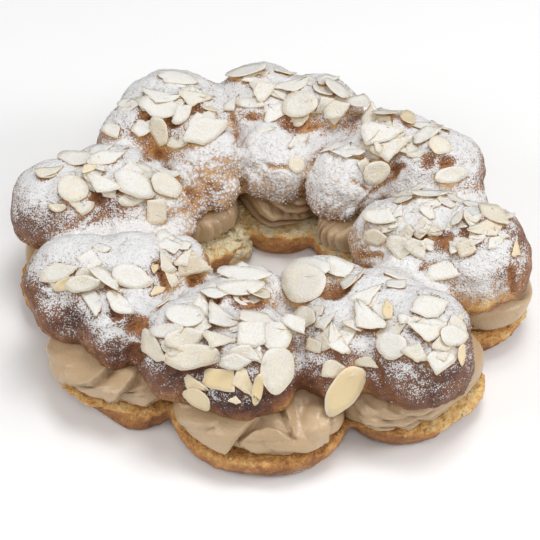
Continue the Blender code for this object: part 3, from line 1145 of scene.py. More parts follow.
# Outlines of the flakes, as they would be at one unit long and wide: how much narrower one end is,
# straight breaks as (bearing in degrees, share of the half length kept), and how many millimetres
# the flake is cupped.
Flake = namedtuple("Flake", "point breaks cup")
FLAKES = {
    "oval": Flake(0.22, (), 1.6),
    "tear": Flake(0.42, (), 1.3),
    "round": Flake(0.06, (), 1.0),
    "domed": Flake(0.10, ((200, 0.80),), -1.7),
    "half": Flake(0.25, ((12, 0.20),), 1.4),
    "snapped": Flake(0.15, ((-20, 0.45), (165, 0.70)), 0.9),
    "shard": Flake(0.20, ((70, 0.25), (205, 0.50)), 0.8),
    "wedge": Flake(0.30, ((110, 0.15), (-30, 0.40)), -0.6),
    "square": Flake(0.0, ((5, 0.70), (95, 0.66), (178, 0.72), (-88, 0.70)), 0.6),
    "jagged": Flake(0.10, ((40, 0.45), (130, 0.50), (250, 0.60)), 0.7),
    "lens": Flake(0.0, (), 2.4),
}
FLAKE_VARIANTS = 3
FLAKE_NAMES = sorted(f"{name}_{number}" for name in FLAKES for number in range(FLAKE_VARIANTS))
FLAKE_THICKNESS = 0.5  # millimetres
FLAKE_POINTS = 24  # round a flake's edge
CRISP_EDGE = math.radians(40)
# How ragged the edge is, as a share of the flake: of a whole round one, and of any other.
NEAT_EDGE = 0.012
RAGGED_EDGE = 0.042

# The flakes that lie on top, bun by bun: x, y, z in millimetres, the bearing of the long axis in
# degrees, length, width, shape, and how bare of sugar the flake is.
Lying = namedtuple("Lying", "x y z bearing length width shape bare")
TOP_FLAKES = (
    # front bun
    Lying(-22, -70, 68, -36, 21, 13, "shard", 0.0),
    Lying(-37, -71, 69, 9, 18, 15, "round", 0.0),
    Lying(-2, -74, 69, 14, 23, 12, "half", 0.0),
    Lying(-53, -83, 59, -38, 22, 12, "tear", 0.1),
    Lying(-45, -79, 66, -11, 18, 7, "lens", 0.0),
    Lying(-37, -84, 66, 25, 20, 11, "oval", 0.0),
    Lying(-22, -84, 67, -38, 18, 11, "wedge", 0.2),
    Lying(3, -82, 66, 40, 16, 14, "round", 0.0),
    Lying(-8, -84, 68, 0, 13, 12, "square", 0.0),
    Lying(-33, -90, 61, 3, 25, 12, "oval", 0.0),
    Lying(-10, -92, 66, 5, 15, 8, "half", 0.1),
    Lying(-15, -95, 63, -17, 14, 8, "snapped", 0.0),
    Lying(4, -95, 58, -72, 21, 18, "round", 0.2),
    Lying(-23, -98, 55, -11, 17, 10, "square", 1.0),
    Lying(-10, -101, 55, -99, 16, 12, "wedge", 0.5),
    Lying(-5, -102, 54, -75, 16, 5, "lens", 1.0),
    Lying(-32, -96, 49, -60, 13, 10, "wedge", 0.6),
    Lying(-33, -100, 42, -97, 14, 14, "round", 0.7),
    Lying(-15, -104, 49, -5, 6, 4, "jagged", 0.6),
    Lying(-13, -53, 66, 5, 22, 10, "lens", 0.0),
    Lying(-33, -33, 58, 25, 18, 10, "half", 0.1),
    Lying(-12, -42, 63, -8, 26, 11, "oval", 0.0),
    Lying(-47, -61, 62, 60, 9, 6, "jagged", 0.3),
    Lying(-27, -57, 63, -20, 13, 8, "snapped", 0.0),
    # front-left bun
    Lying(-96, -44, 66, 0, 20, 9, "snapped", 0.2),
    Lying(-91, -48, 63, 18, 15, 6, "lens", 0.9),
    Lying(-84, -49, 63, 8, 17, 8, "oval", 0.0),
    Lying(-72, -48, 63, -34, 18, 9, "half", 0.0),
    Lying(-62, -45, 64, -11, 20, 11, "oval", 0.0),
    Lying(-53, -40, 65, 80, 6, 5, "jagged", 0.9),
    Lying(-47, -36, 65, -24, 13, 9, "shard", 0.1),
    Lying(-39, -31, 63, 30, 12, 8, "wedge", 0.1),
    Lying(-52, -47, 58, 40, 9, 5, "jagged", 0.6),
    # left bun
    Lying(-93, 10, 67, -4, 15, 14, "round", 0.4),
    Lying(-105, 20, 69, 28, 14, 8, "tear", 0.4),
    Lying(-92, 29, 69, -13, 22, 11, "oval", 0.0),
    Lying(-78, 27, 69, 10, 18, 9, "snapped", 0.1),
    Lying(-80, 14, 67, -10, 18, 10, "shard", 0.1),
    Lying(-64, 15, 64, -22, 22, 12, "domed", 0.0),
    Lying(-49, 17, 62, -22, 16, 12, "oval", 0.1),
    Lying(-54, 8, 54, 0, 10, 13, "square", 0.1),
    Lying(-100, 3, 61, -3, 9, 4, "lens", 0.4),
    Lying(-86, 20, 69, 50, 9, 6, "jagged", 0.6),
    # back-left bun
    Lying(-54, 64, 70, -13, 24, 13, "oval", 0.1),
    Lying(-63, 56, 63, -4, 11, 9, "tear", 0.0),
    Lying(-54, 53, 63, -89, 15, 10, "oval", 0.1),
    Lying(-32, 51, 66, 30, 25, 14, "tear", 0.0),
    Lying(-36, 72, 70, -21, 18, 14, "wedge", 0.1),
    Lying(-46, 86, 71, -6, 21, 11, "domed", 0.0),
    Lying(-55, 72, 71, -5, 20, 11, "shard", 0.1),
    Lying(-78, 57, 62, -34, 12, 7, "half", 0.1),
    Lying(-43, 60, 68, 60, 12, 8, "half", 0.2),
    Lying(-29, 66, 68, 10, 8, 6, "jagged", 0.7),
    # back bun
    Lying(-12, 91, 70, -8, 22, 12, "oval", 0.0),
    Lying(9, 82, 69, 30, 21, 12, "shard", 0.0),
    Lying(14, 69, 67, -11, 19, 15, "round", 0.0),
    Lying(32, 79, 68, 13, 16, 14, "round", 0.0),
    Lying(40, 71, 62, 60, 15, 11, "oval", 0.1),
    Lying(30, 65, 64, 0, 14, 9, "snapped", 0.1),
    Lying(12, 39, 55, 10, 8, 8, "round", 0.5),
    Lying(-4, 78, 69, 60, 14, 9, "half", 0.1),
    # back-right bun
    Lying(56, 58, 68, -4, 14, 11, "round", 0.1),
    Lying(66, 58, 68, 85, 16, 8, "lens", 0.8),
    Lying(53, 47, 68, 7, 21, 12, "tear", 0.0),
    Lying(58, 40, 65, -7, 20, 13, "wedge", 0.1),
    Lying(50, 31, 57, 31, 14, 12, "round", 0.0),
    Lying(81, 38, 69, 2, 12, 10, "oval", 0.4),
    Lying(75, 47, 69, 33, 16, 9, "half", 0.1),
    Lying(86, 27, 60, 15, 18, 8, "lens", 0.0),
    Lying(46, 37, 60, -50, 7, 5, "jagged", 0.3),
    # right bun
    Lying(59, -21, 59, -14, 14, 11, "oval", 0.0),
    Lying(48, -14, 58, -30, 13, 9, "snapped", 0.1),
    Lying(51, -6, 65, -6, 17, 9, "half", 0.0),
    Lying(62, 3, 68, -48, 11, 8, "tear", 0.0),
    Lying(74, 6, 70, 5, 18, 8, "lens", 0.0),
    Lying(73, -7, 70, -27, 9, 8, "jagged", 0.1),
    Lying(99, -16, 69, 53, 20, 12, "shard", 0.5),
    Lying(80, -33, 57, 12, 17, 9, "half", 0.0),
    Lying(104, -8, 67, -52, 20, 11, "tear", 0.35),
    Lying(112, -21, 60, 62, 10, 7, "wedge", 0.8),
    Lying(68, -23, 61, -35, 13, 8, "half", 0.1),
    # front-right bun
    Lying(44, -58, 70, 2, 17, 12, "wedge", 0.0),
    Lying(31, -38, 66, -28, 14, 12, "square", 0.0),
    Lying(17, -36, 64, -30, 25, 13, "domed", 0.0),
    Lying(15, -45, 61, -34, 25, 19, "round", 0.3),
    Lying(34, -50, 67, -43, 12, 9, "half", 0.0),
    Lying(57, -51, 70, 24, 12, 10, "snapped", 0.0),
    Lying(43, -71, 67, -29, 19, 14, "shard", 0.1),
    Lying(52, -68, 69, 80, 11, 5, "snapped", 0.9),
    Lying(71, -69, 72, 4, 19, 13, "snapped", 0.1),
    Lying(68, -81, 70, 14, 16, 12, "shard", 0.1),
    Lying(53, -86, 65, -20, 15, 12, "round", 0.0),
    Lying(64, -90, 65, -20, 13, 9, "jagged", 0.1),
    Lying(75, -86, 66, 14, 10, 8, "jagged", 0.2),
    Lying(81, -81, 66, 18, 16, 10, "round", 0.1),
    Lying(84, -87, 60, -50, 10, 7, "tear", 0.8),
    Lying(15, -66, 61, -40, 17, 12, "oval", 0.1),
    Lying(25, -74, 68, -6, 12, 9, "wedge", 0.0),
    Lying(17, -74, 62, -34, 14, 7, "half", 0.1),
    Lying(31, -85, 63, -8, 11, 8, "jagged", 0.0),
    Lying(20, -82, 60, -23, 9, 6, "square", 0.1),
    Lying(43, -89, 56, 6, 11, 6, "half", 0.1),
    Lying(30, -92, 54, -22, 16, 9, "tear", 0.2),
    Lying(34, -95, 44, -82, 27, 17, "round", 1.0),
)

DRIFT_HEIGHT = 70  # millimetres, near the tops of the buns
# Smaller flakes that the batter rose round, mostly buried: x, y in millimetres, how far they are
# spread round that, how many there are, and how large.
Drift = namedtuple("Drift", "x y spread count size", defaults=(1.0,))
DRIFTS = (
    Drift(-25, -77, 26, 12),
    Drift(-18, -50, 20, 6),
    Drift(-78, -40, 26, 6),
    Drift(-45, -35, 16, 5),
    Drift(-88, 20, 24, 8),
    Drift(-58, 16, 16, 5),
    Drift(-52, 66, 26, 12),
    Drift(-34, 60, 18, 5),
    Drift(14, 76, 30, 18),
    Drift(66, 45, 26, 14),
    Drift(50, 44, 18, 6),
    Drift(84, -5, 28, 20, 0.75),
    Drift(62, -12, 18, 12, 0.65),
    Drift(96, -22, 14, 6, 0.7),
    Drift(46, -58, 24, 7),
    Drift(72, -76, 22, 6),
    Drift(24, -74, 16, 6),
)


def flake_outline(flake, rng):
    """Points round a flake's edge, about one unit across: an egg-shaped slice and its breaks."""
    wobble = [rng.uniform(-1, 1) for _ in range(4)]
    chips = tuple((rng.uniform(0, 360), rng.uniform(0.70, 0.95)) for _ in range(3))
    jitter = RAGGED_EDGE
    if flake.point < 0.1 and not flake.breaks:
        chips = ()
        jitter = NEAT_EDGE
    points = []
    for step in range(FLAKE_POINTS):
        turn = math.tau * step / FLAKE_POINTS
        x = math.cos(turn) / 2
        y = math.sin(turn) / 2 * (1 - flake.point * math.cos(turn))
        ripple = 1 + 0.06 * wobble[0] * math.sin(3 * turn + 3 * wobble[1])
        ripple += 0.05 * wobble[2] * math.sin(5 * turn + 3 * wobble[3])
        point = Vector((x, y)) * (ripple + rng.uniform(-jitter, jitter))
        for bearing, kept in flake.breaks + chips:
            across = Vector((math.cos(math.radians(bearing)), math.sin(math.radians(bearing))))
            past = point.dot(across) - kept / 2
            if past > 0:
                point = point - across * (past + rng.uniform(-0.02, 0.02))
        points.append(point)
    middle = sum(points, Vector((0, 0))) / len(points)
    points = [point - middle for point in points]
    long = max(point.x for point in points) - min(point.x for point in points)
    wide = max(point.y for point in points) - min(point.y for point in points)
    return [Vector((point.x / long, point.y / wide)) for point in points]


def flake_bowl(flake, x, y):
    """How far the flake curls up at a point of its outline, in millimetres."""
    return flake.cup * (x * x * 2.4 + y * y * 1.1 - 0.25)


def flake_mesh(name, flake, rng):
    """A thin cupped flake lying in XY, a millimetre long and wide, and as thick as a real one."""
    outline = flake_outline(flake, rng)
    half = FLAKE_THICKNESS / 2
    twist = rng.uniform(-0.5, 0.5)
    bm = bmesh.new()
    rim_layer = bm.verts.layers.float.new("rim")
    toasted_shadow_layer = bm.verts.layers.float.new("below")

    def vertex(x, y, lift, rim):
        height = flake_bowl(flake, x, y) + twist * x * y * 4 + lift
        vert = bm.verts.new((x * MM, y * MM, height * MM))
        vert[rim_layer] = rim
        return vert

    rings = []
    for share, lift, rim in ((0.6, half, 0.15), (0.985, half, 0.8), (1.0, -half * 0.7, 1.0)):
        rings.append([vertex(point.x * share, point.y * share, lift, rim) for point in outline])
    top = vertex(0, 0, half, 0.0)
    under = vertex(0, 0, -half, 0.3)
    # The lowest rim and the underside are marked for their dark tan: partly toasted almond, partly painted
    # contact shadow.
    for vert in (*rings[-1], under):
        vert[toasted_shadow_layer] = 1.0
    for step in range(FLAKE_POINTS):
        after = (step + 1) % FLAKE_POINTS
        bm.faces.new((top, rings[0][step], rings[0][after]))
        for upper, lower in zip(rings, rings[1:]):
            bm.faces.new((upper[step], lower[step], lower[after], upper[after]))
        bm.faces.new((under, rings[-1][after], rings[-1][step]))
    for face in bm.faces:
        face.smooth = True
    bm.edges.ensure_lookup_table()
    for edge in bm.edges:
        edge.smooth = edge.calc_face_angle(0) < CRISP_EDGE
    mesh = bpy.data.meshes.new(name)
    bm.to_mesh(mesh)
    bm.free()
    return mesh


# The places on a flake that can touch what is under it: round its rim, and half way in.
FEET = np.array(
    [
        (reach * math.cos(k * math.tau / count), reach * math.sin(k * math.tau / count))
        for reach, count in ((0.48, 12), (0.33, 10), (0.16, 5), (0.0, 1))
        for k in range(count)
    ]
)
TRIPODS = np.array(list(itertools.combinations(range(len(FEET)), 3)))
UPRIGHT = 0.25  # how far a flake's fall leans from the crust's own slope to the vertical
LONGEST_FLAKE = 0.03
FALL = 0.025  # how far above the crust a flake's fall starts
NOTHING_BELOW = -0.003  # how far a foot without ground under it may reach down
STEEPEST = math.tan(math.radians(32))
# How deep a flake sinks into the crust: one that the batter rose round, and one that lies on top.
BURIED = 0.0006
SETTLED = 0.0001


def resting_plane(feet, heights):
    """The lowest plane over all the feet that three of them hold up, as (rise, slope x, slope y)."""
    corners = np.concatenate([feet[TRIPODS], np.ones((len(TRIPODS), 3, 1))], axis=2)
    firm = np.abs(np.linalg.det(corners)) > 1e-7
    slopes = np.linalg.solve(corners[firm], heights[TRIPODS[firm]][..., None])[..., 0]
    lifted = slopes[:, :2] @ feet.T + slopes[:, 2:]
    held = (lifted >= heights - 1e-6).all(axis=1)
    best = slopes[held][np.argmin(slopes[held][:, 2])]
    steep = math.hypot(best[0], best[1]) / STEEPEST
    if steep > 1:
        best[:2] /= steep
    return np.max(heights - feet @ best[:2]), best[0], best[1]


def lay_flake(lying, ground, sink):
    """Rests a flake on what is under it. Returns its place, its turn and its sizes."""
    spot, normal = ground[0].find_nearest(Vector((lying.x, lying.y, lying.z)) * MM)[:2]
    axis = (normal * (1 - UPRIGHT) + UP * UPRIGHT).normalized()
    bearing = math.radians(lying.bearing)
    along = Vector((math.cos(bearing), math.sin(bearing), 0))
    along = (along - axis * along.dot(axis)).normalized()
    across = axis.cross(along)
    feet = FEET * (lying.length * MM, lying.width * MM)
    reach = lying.length * MM + LONGEST_FLAKE
    near = [tree for tree, middle in ground[1] if (middle - spot).length < reach]
    flake = FLAKES[lying.shape]
    heights = []
    for (x, y), (u, v) in zip(feet, FEET):
        start = spot + along * x + across * y + axis * FALL
        drops = [tree.ray_cast(start, -axis, 2 * FALL)[3] for tree in [ground[0], *near]]
        height = max([FALL - drop for drop in drops if drop is not None], default=NOTHING_BELOW)
        bowl = flake_bowl(flake, u, v) - FLAKE_THICKNESS / 2
        heights.append(max(height, NOTHING_BELOW) - bowl * MM - sink)
    rise, slope_x, slope_y = resting_plane(feet, np.array(heights))
    facing = (axis - along * slope_x - across * slope_y).normalized()
    long_axis = (along + axis * slope_x).normalized()
    turn = Matrix((long_axis, facing.cross(long_axis), facing)).transposed()
    return spot + axis * rise, turn, (lying.length, lying.width, 1.0)


def scattered_flake(drift, rng):
    """One small flake, somewhere in its drift."""
    away = drift.spread * math.sqrt(rng.random())
    turn = rng.uniform(0, math.tau)
    shape = rng.choice(("oval", "half", "snapped", "shard", "wedge", "square", "jagged"))
    return Lying(
        drift.x + away * math.cos(turn),
        drift.y + away * math.sin(turn),
        DRIFT_HEIGHT,
        rng.uniform(-60, 60),
        rng.uniform(9, 17) * drift.size,
        rng.uniform(6, 11) * drift.size,
        shape,
        0.05,
    )


def sprinkle(crust_mesh, shapes):
    """Lays every flake, the buried ones first. Returns a mesh of one point for each."""
    rng = random.Random(22)
    ground = (joined_tree([crust_mesh]), [])
    whole = [(scattered_flake(drift, rng), BURIED) for drift in DRIFTS for _ in range(drift.count)]
    whole.extend((lying, SETTLED) for lying in TOP_FLAKES)
    points = bmesh.new()
    kind_layer = points.verts.layers.int.new("kind")
    bare_layer = points.verts.layers.float.new("bare")
    tint_layer = points.verts.layers.float.new("tint")
    turn_layer = points.verts.layers.float_vector.new("turn")
    size_layer = points.verts.layers.float_vector.new("size")
    for lying, sink in whole:
        place, turn, size = lay_flake(lying, ground, sink)
        vert = points.verts.new(place)
        variant = f"{lying.shape}_{rng.randrange(FLAKE_VARIANTS)}"
        vert[kind_layer] = FLAKE_NAMES.index(variant)
        vert[bare_layer] = lying.bare
        vert[tint_layer] = rng.random()
        vert[turn_layer] = Vector(turn.to_euler())
        vert[size_layer] = Vector(size)
        shape = shapes[variant].data
        scale = Matrix.Diagonal(Vector(size))
        corners = [turn @ (scale @ corner.co) + place for corner in shape.vertices]
        tree = BVHTree.FromPolygons(corners, [face.vertices for face in shape.polygons])
        ground[1].append((tree, place))
    mesh = bpy.data.meshes.new("almond_flakes")
    points.to_mesh(mesh)
    points.free()
    return mesh


def scatter_group(name):
    """Geometry group: a copy of one of a collection's shapes on every point, turned and sized."""
    group, given, out = open_group(
        name,
        "GeometryNodeTree",
        {
            "Geometry": "NodeSocketGeometry",
            "Shapes": "NodeSocketCollection",
            "Finish": "NodeSocketMaterial",
        },
        {"Geometry": "NodeSocketGeometry"},
    )
    shapes = add_node(
        group,
        "GeometryNodeCollectionInfo",
        {"Collection": given["Shapes"], "Separate Children": True, "Reset Children": True},
    )[0]
    copies = add_node(
        group,
        "GeometryNodeInstanceOnPoints",
        {
            "Points": given["Geometry"],
            "Instance": shapes,
            "Pick Instance": True,
            "Instance Index": named_attribute(group, "kind", "INT"),
            "Rotation": named_attribute(group, "turn", "FLOAT_VECTOR"),
            "Scale": named_attribute(group, "size", "FLOAT_VECTOR"),
        },
    )[0]
    finish_geometry(group, copies, given["Finish"], out)
    return group


def almond_flakes(crust_mesh, finish):
    """Every flake on the crown, as one piece."""
    rng = random.Random(5)
    collection = bpy.data.collections.new("flake shapes")
    shapes = {}
    for name in FLAKE_NAMES:
        flake = FLAKES[name.rpartition("_")[0]]
        shapes[name] = bpy.data.objects.new(name, flake_mesh(name, flake, rng))
        collection.objects.link(shapes[name])
    obj = make_object("almond_flakes", sprinkle(crust_mesh, shapes))
    shape_by_nodes(obj, scatter_group("scattered flakes"), {"Shapes": collection, "Finish": finish})
    for shape in shapes.values():
        bpy.data.objects.remove(shape)
    bpy.data.collections.remove(collection)
    return obj


# ---------------------------------------------------------------- torn crumb, sugar and crumbs

# Where the inner end of the base tore open at the back left: x, y, z and half sizes in millimetres.
Lump = namedtuple("Lump", "x y z across deep tall")
TORN_LUMPS = (
    Lump(-30, 25, 7, 10, 5.5, 8.5),
    Lump(-21, 26, 7, 9, 5.5, 8),
    Lump(-37, 24, 9, 6, 5, 7),
    Lump(-24, 30, 7, 9.5, 7, 8.5),
    Lump(-17, 31, 12, 6, 4.5, 6.5),
    Lump(-31, 29, 9, 6.5, 5.5, 6.5),
    Lump(-14, 29, 8, 4.5, 4.5, 6),
    Lump(-26, 27, 4, 8.5, 5.5, 5),
    Lump(-19, 29, 4, 6.5, 5, 4),
)


def torn_crumb(group, finish):
    """The open crumb at the torn inner end of the base."""
    bm = bmesh.new()
    for lump in TORN_LUMPS:
        size = Matrix.Diagonal((lump.across * MM, lump.deep * MM, lump.tall * MM, 1))
        place = Matrix.Translation(Vector((lump.x, lump.y, lump.z)) * MM)
        bmesh.ops.create_icosphere(bm, subdivisions=3, radius=1, matrix=place @ size)
    for vert in bm.verts:
        vert.co.z = max(vert.co.z, 0.0001)
    mesh = bpy.data.meshes.new("torn_crumb")
    bm.to_mesh(mesh)
    bm.free()
    obj = even_skin(make_object("torn_crumb", mesh), TORN_VOXEL, TORN_SMOOTHING)
    relief = {
        "Bulge Size": 0.009,
        "Bulge Height": 0.0022,
        "Lump Size": 0.005,
        "Lump Height": 0.0009,
        "Blister Size": 0.002,
        "Blister Height": 0.0004,
        "Crack Spacing": 0.008,
        "Crack Depth": 0.0006,
        "Crumb Above": -1.0,
        "Pore Size": 0.0042,
        "Pore Depth": 0.0024,
        "Crumb Facing": -2.0,
        "Level Below": 0.0002,
        "Shift": 8.0,
        "Finish": finish,
    }
    return shape_by_nodes(obj, group, relief)


def grains_group():
    """Geometry group: small rounded grains strewn where the surface's "strewn" attribute is high."""
    group, given, out = open_group(
        "strewn grains",
        "GeometryNodeTree",
        {
            "Geometry": "NodeSocketGeometry",
            "Apart": 0.0012,
            "Most": 300000.0,
            "Smallest": 0.0002,
            "Largest": 0.0004,
            "Grown": 0.0003,
            "Uneven": 0.2,
            "Roundness": 1,
            "Seed": 3,
            "Finish": "NodeSocketMaterial",
        },
        {"Geometry": "NodeSocketGeometry"},
    )
    points = add_node(
        group,
        "GeometryNodeDistributePointsOnFaces",
        {
            "Mesh": given["Geometry"],
            "Distance Min": given["Apart"],
            "Density Max": given["Most"],
            "Density Factor": named_attribute(group, "strewn"),
            "Seed": given["Seed"],
        },
        distribute_method="POISSON",
    )[0]
    ball = {"Radius": 1.0, "Subdivisions": given["Roundness"]}
    grain = add_node(group, "GeometryNodeMeshIcoSphere", ball)[0]

    def by_chance(inputs):
        return add_node(group, "FunctionNodeRandomValue", inputs, data_type="FLOAT_VECTOR")[0]

    low = combine(group, given["Smallest"], given["Smallest"], given["Smallest"])
    grown = named_attribute(group, "coarse") * given["Grown"]
    extra = given["Largest"] - given["Smallest"] + grown
    spread = combine(group, extra, extra, extra * 0.8)
    size = low.vector("ADD", by_chance({"Seed": given["Seed"]}).vector("MULTIPLY", spread))
    copies = add_node(
        group,
        "GeometryNodeInstanceOnPoints",
        {
            "Points": points,
            "Instance": grain,
            "Rotation": by_chance({"Max": (math.tau,) * 3}),
            "Scale": size,
        },
    )[0]
    real = add_node(group, "GeometryNodeRealizeInstances", {0: copies})[0]
    place = add_node(group, "GeometryNodeInputPosition")[0]
    wave = add_node(group, "ShaderNodeTexNoise", {"Vector": place, "Scale": 900.0})[1]
    push = wave.vector("SUBTRACT", CENTRED).scaled(given["Uneven"] * given["Largest"] * 4)
    uneven = add_node(group, "GeometryNodeSetPosition", {"Geometry": real, "Offset": push})[0]
    smooth = add_node(group, "GeometryNodeSetShadeSmooth", {0: uneven})[0]
    finish_geometry(group, smooth, given["Finish"], out)
    return group


def strew(name, mesh, density, group, settings):
    """Grains on a mesh, as a piece of their own."""
    ground = mesh.copy()
    write_attribute(ground, "strewn", density)
    if "coarse" not in ground.attributes:
        write_attribute(ground, "coarse", np.zeros(len(density)))
    return shape_by_nodes(make_object(name, ground), group, settings)


# ---------------------------------------------------------------- baking and dusting



def ways_round(count, lean, rise):
    """Directions evenly round the vertical, all leaning out and rising by the same."""
    turns = [k * math.tau / count for k in range(count)]
    return [Vector((math.cos(turn) * lean, math.sin(turn) * lean, rise)) for turn in turns]


# The ways that sugar falls from, and the ways that heat comes from, as seen from the crust.
SKY = [way.normalized() for way in (Vector((0.05, -0.05, 1)), *ways_round(5, 0.45, 1))]
AROUND = ways_round(6, 0.8, 0.6)
SKY_REACH = 0.06
OPEN_REACH = 0.022
OFF_THE_SKIN = 0.0004
OFF_THE_CRUST = 0.0006


def spread_out(mesh, values, rounds):
    """Evens a value out over the mesh by sharing it along the edges."""
    ends = np.empty(len(mesh.edges) * 2, np.int32)
    mesh.edges.foreach_get("vertices", ends)
    ends = ends.reshape(-1, 2)
    count = np.bincount(ends.ravel(), minlength=len(values))
    for _ in range(rounds):
        total = np.bincount(ends[:, 0], values[ends[:, 1]], len(values))
        total += np.bincount(ends[:, 1], values[ends[:, 0]], len(values))
        values = (values + total / np.maximum(count, 1)) / 2
    return values


def settled_sugar(mesh, tree):
    """How much icing sugar comes to rest at each vertex: by how flat it is and what is above it."""
    shares = np.empty(len(mesh.vertices))
    for index, vert in enumerate(mesh.vertices):
        start = vert.co + vert.normal * OFF_THE_SKIN
        free = sum(tree.ray_cast(start, way, SKY_REACH)[0] is None for way in SKY)
        shares[index] = free / len(SKY)
    flat = vertex_array(mesh, "normal")[:, 2]
    lies = np.interp(flat, (-0.45, -0.1, 0.25, 0.55, 0.8, 0.95), (0.08, 0.28, 0.43, 0.64, 0.88, 1.0))
    return np.clip(lies * (0.42 + 0.58 * shares) - 0.10 * (shares < 0.1), 0, 1)


def heel_share(places):
    """How much a place belongs to the ends of the buns that face the hole, at the back."""
    inner = np.interp(ring_reach(places), (0.042, 0.066), (1, 0))
    return inner * np.interp(places[:, 1], (-0.02, 0.01), (0, 1))


def openness(mesh, tree, within=OPEN_REACH):
    """How open each vertex is to what is around it, from 0 deep in a crease to 1 in the clear."""
    shares = np.empty(len(mesh.vertices))
    for index, vert in enumerate(mesh.vertices):
        start = vert.co + vert.normal * OFF_THE_CRUST
        frame_turn = vert.normal.to_track_quat("Z", "Y")
        total = 0.0
        for way in AROUND:
            distance = tree.ray_cast(start, frame_turn @ way, within)[3]
            total += 1.0 if distance is None else distance / within
        shares[index] = total / len(AROUND)
    return spread_out(mesh, shares, 3)


def in_the_clear(mesh, tree):
    """How freely the oven's heat reached each vertex, from 0 in a crease to 1 in the clear."""
    return np.clip((openness(mesh, tree) - 0.45) / 0.4, 0, 1)


def ring_reach(places):
    """How far each place is from the middle of the crown, as if the ring were round."""
    across = (places[:, 0] - RING_CENTRE.x) / RING_STRETCH
    return np.hypot(across, places[:, 1] - RING_CENTRE.y)


# Where the lid is browner or paler: x, y, z and radius in millimetres, and how brown it is. Partly how much
# heat each place took, partly painted light and shade: the paler spots on the heels that face the hole are
# painted light, and the darkest spots low on the front are painted shade as well as dark crust.
BrownSpot = namedtuple("BrownSpot", "x y z radius brown")
BROWN_SPOT_SHARE = 0.8  # how far such a place goes over to its own brown
BROWNED_AND_PAINTED_LIGHT = (
    BrownSpot(99, -38, 42, 18, 0.08),
    BrownSpot(112, -30, 52, 8, 0.44),
    BrownSpot(118, -22, 50, 10, 0.55),
    BrownSpot(-89, -67, 42, 10, 0.42),
    BrownSpot(-72, -76, 43, 9, 0.66),
    BrownSpot(-106, -50, 45, 9, 0.62),
    BrownSpot(-57, -70, 50, 8, 0.34),
    BrownSpot(-5, -104, 43, 14, 1.0),
    BrownSpot(7, -99, 38, 8, 0.30),
    BrownSpot(-28, -100, 46, 11, 0.95),
    BrownSpot(-50, -88, 39, 9, 0.48),
    BrownSpot(-43, -95, 46, 9, 0.78),
    BrownSpot(-42, -95, 37, 6, 0.35),
    BrownSpot(36, -86, 42, 9, 0.40),
    BrownSpot(-73, -76, 38, 9, 0.70),
    BrownSpot(68, -94, 42, 16, 0.72),
    BrownSpot(28, -88, 50, 6, 0.70),
    BrownSpot(-34, 34, 42, 13, 0.36),
    BrownSpot(8, 33, 42, 14, 0.25),
    BrownSpot(34, 26, 42, 13, 0.22),
    BrownSpot(-100, 0, 44, 12, 0.58),
    BrownSpot(-46, 5, 43, 12, 0.18),
)


# Where the lid has more sugar or less: x, y, z and radius in millimetres, and how much more. Mostly where
# more or less sugar fell; some spots are painted light and shade: more sugar brightens the heels that face
# the hole, and less sugar darkens the lit right flank.
SugarSpot = namedtuple("SugarSpot", "x y z radius more")
SUGARED_AND_PAINTED_LIGHT = (
    SugarSpot(34, 26, 48, 18, 0.36),
    SugarSpot(24, 27, 43, 9, -0.16),
    SugarSpot(74, -24, 58, 16, 0.10),
    SugarSpot(50, 16, 52, 14, 0.24),
    SugarSpot(60, 28, 54, 12, 0.20),
    SugarSpot(97, -36, 48, 14, 0.38),
    SugarSpot(97, -39, 36, 8, -0.42),
    SugarSpot(-112, 0, 48, 16, 0.14),
    SugarSpot(-22, -80, 64, 22, 0.14),
    SugarSpot(-44, 36, 50, 13, -0.18),
    SugarSpot(-26, 34, 46, 12, -0.14),
    SugarSpot(-13, 40, 48, 8, 0.20),
    SugarSpot(-31, 41, 61, 12, -0.12),
    SugarSpot(84, -12, 66, 24, 0.12),
    SugarSpot(48, -12, 54, 14, 0.24),
    SugarSpot(-52, 62, 66, 14, -0.34),
    SugarSpot(-107, -43, 49, 11, -0.34),
    SugarSpot(30, 22, 38, 8, -0.14),
    SugarSpot(8, 36, 47, 15, 0.20),
    SugarSpot(116, -12, 54, 13, -0.44),
    SugarSpot(-5, -103, 47, 16, -0.20),
    SugarSpot(-42, -94, 47, 12, -0.10),
    SugarSpot(68, -94, 48, 14, 0.05),
    SugarSpot(-16, 48, 54, 7, 0.10),
)
HIDDEN_BROWN = 0.60  # how brown the lid's creases and hollows are


def sugar_and_painted_light(places):
    """How much more sugar each place gets than settled by itself, partly as painted light and shade."""
    return sum(spot.more * nearness(places / MM, spot) for spot in SUGARED_AND_PAINTED_LIGHT)


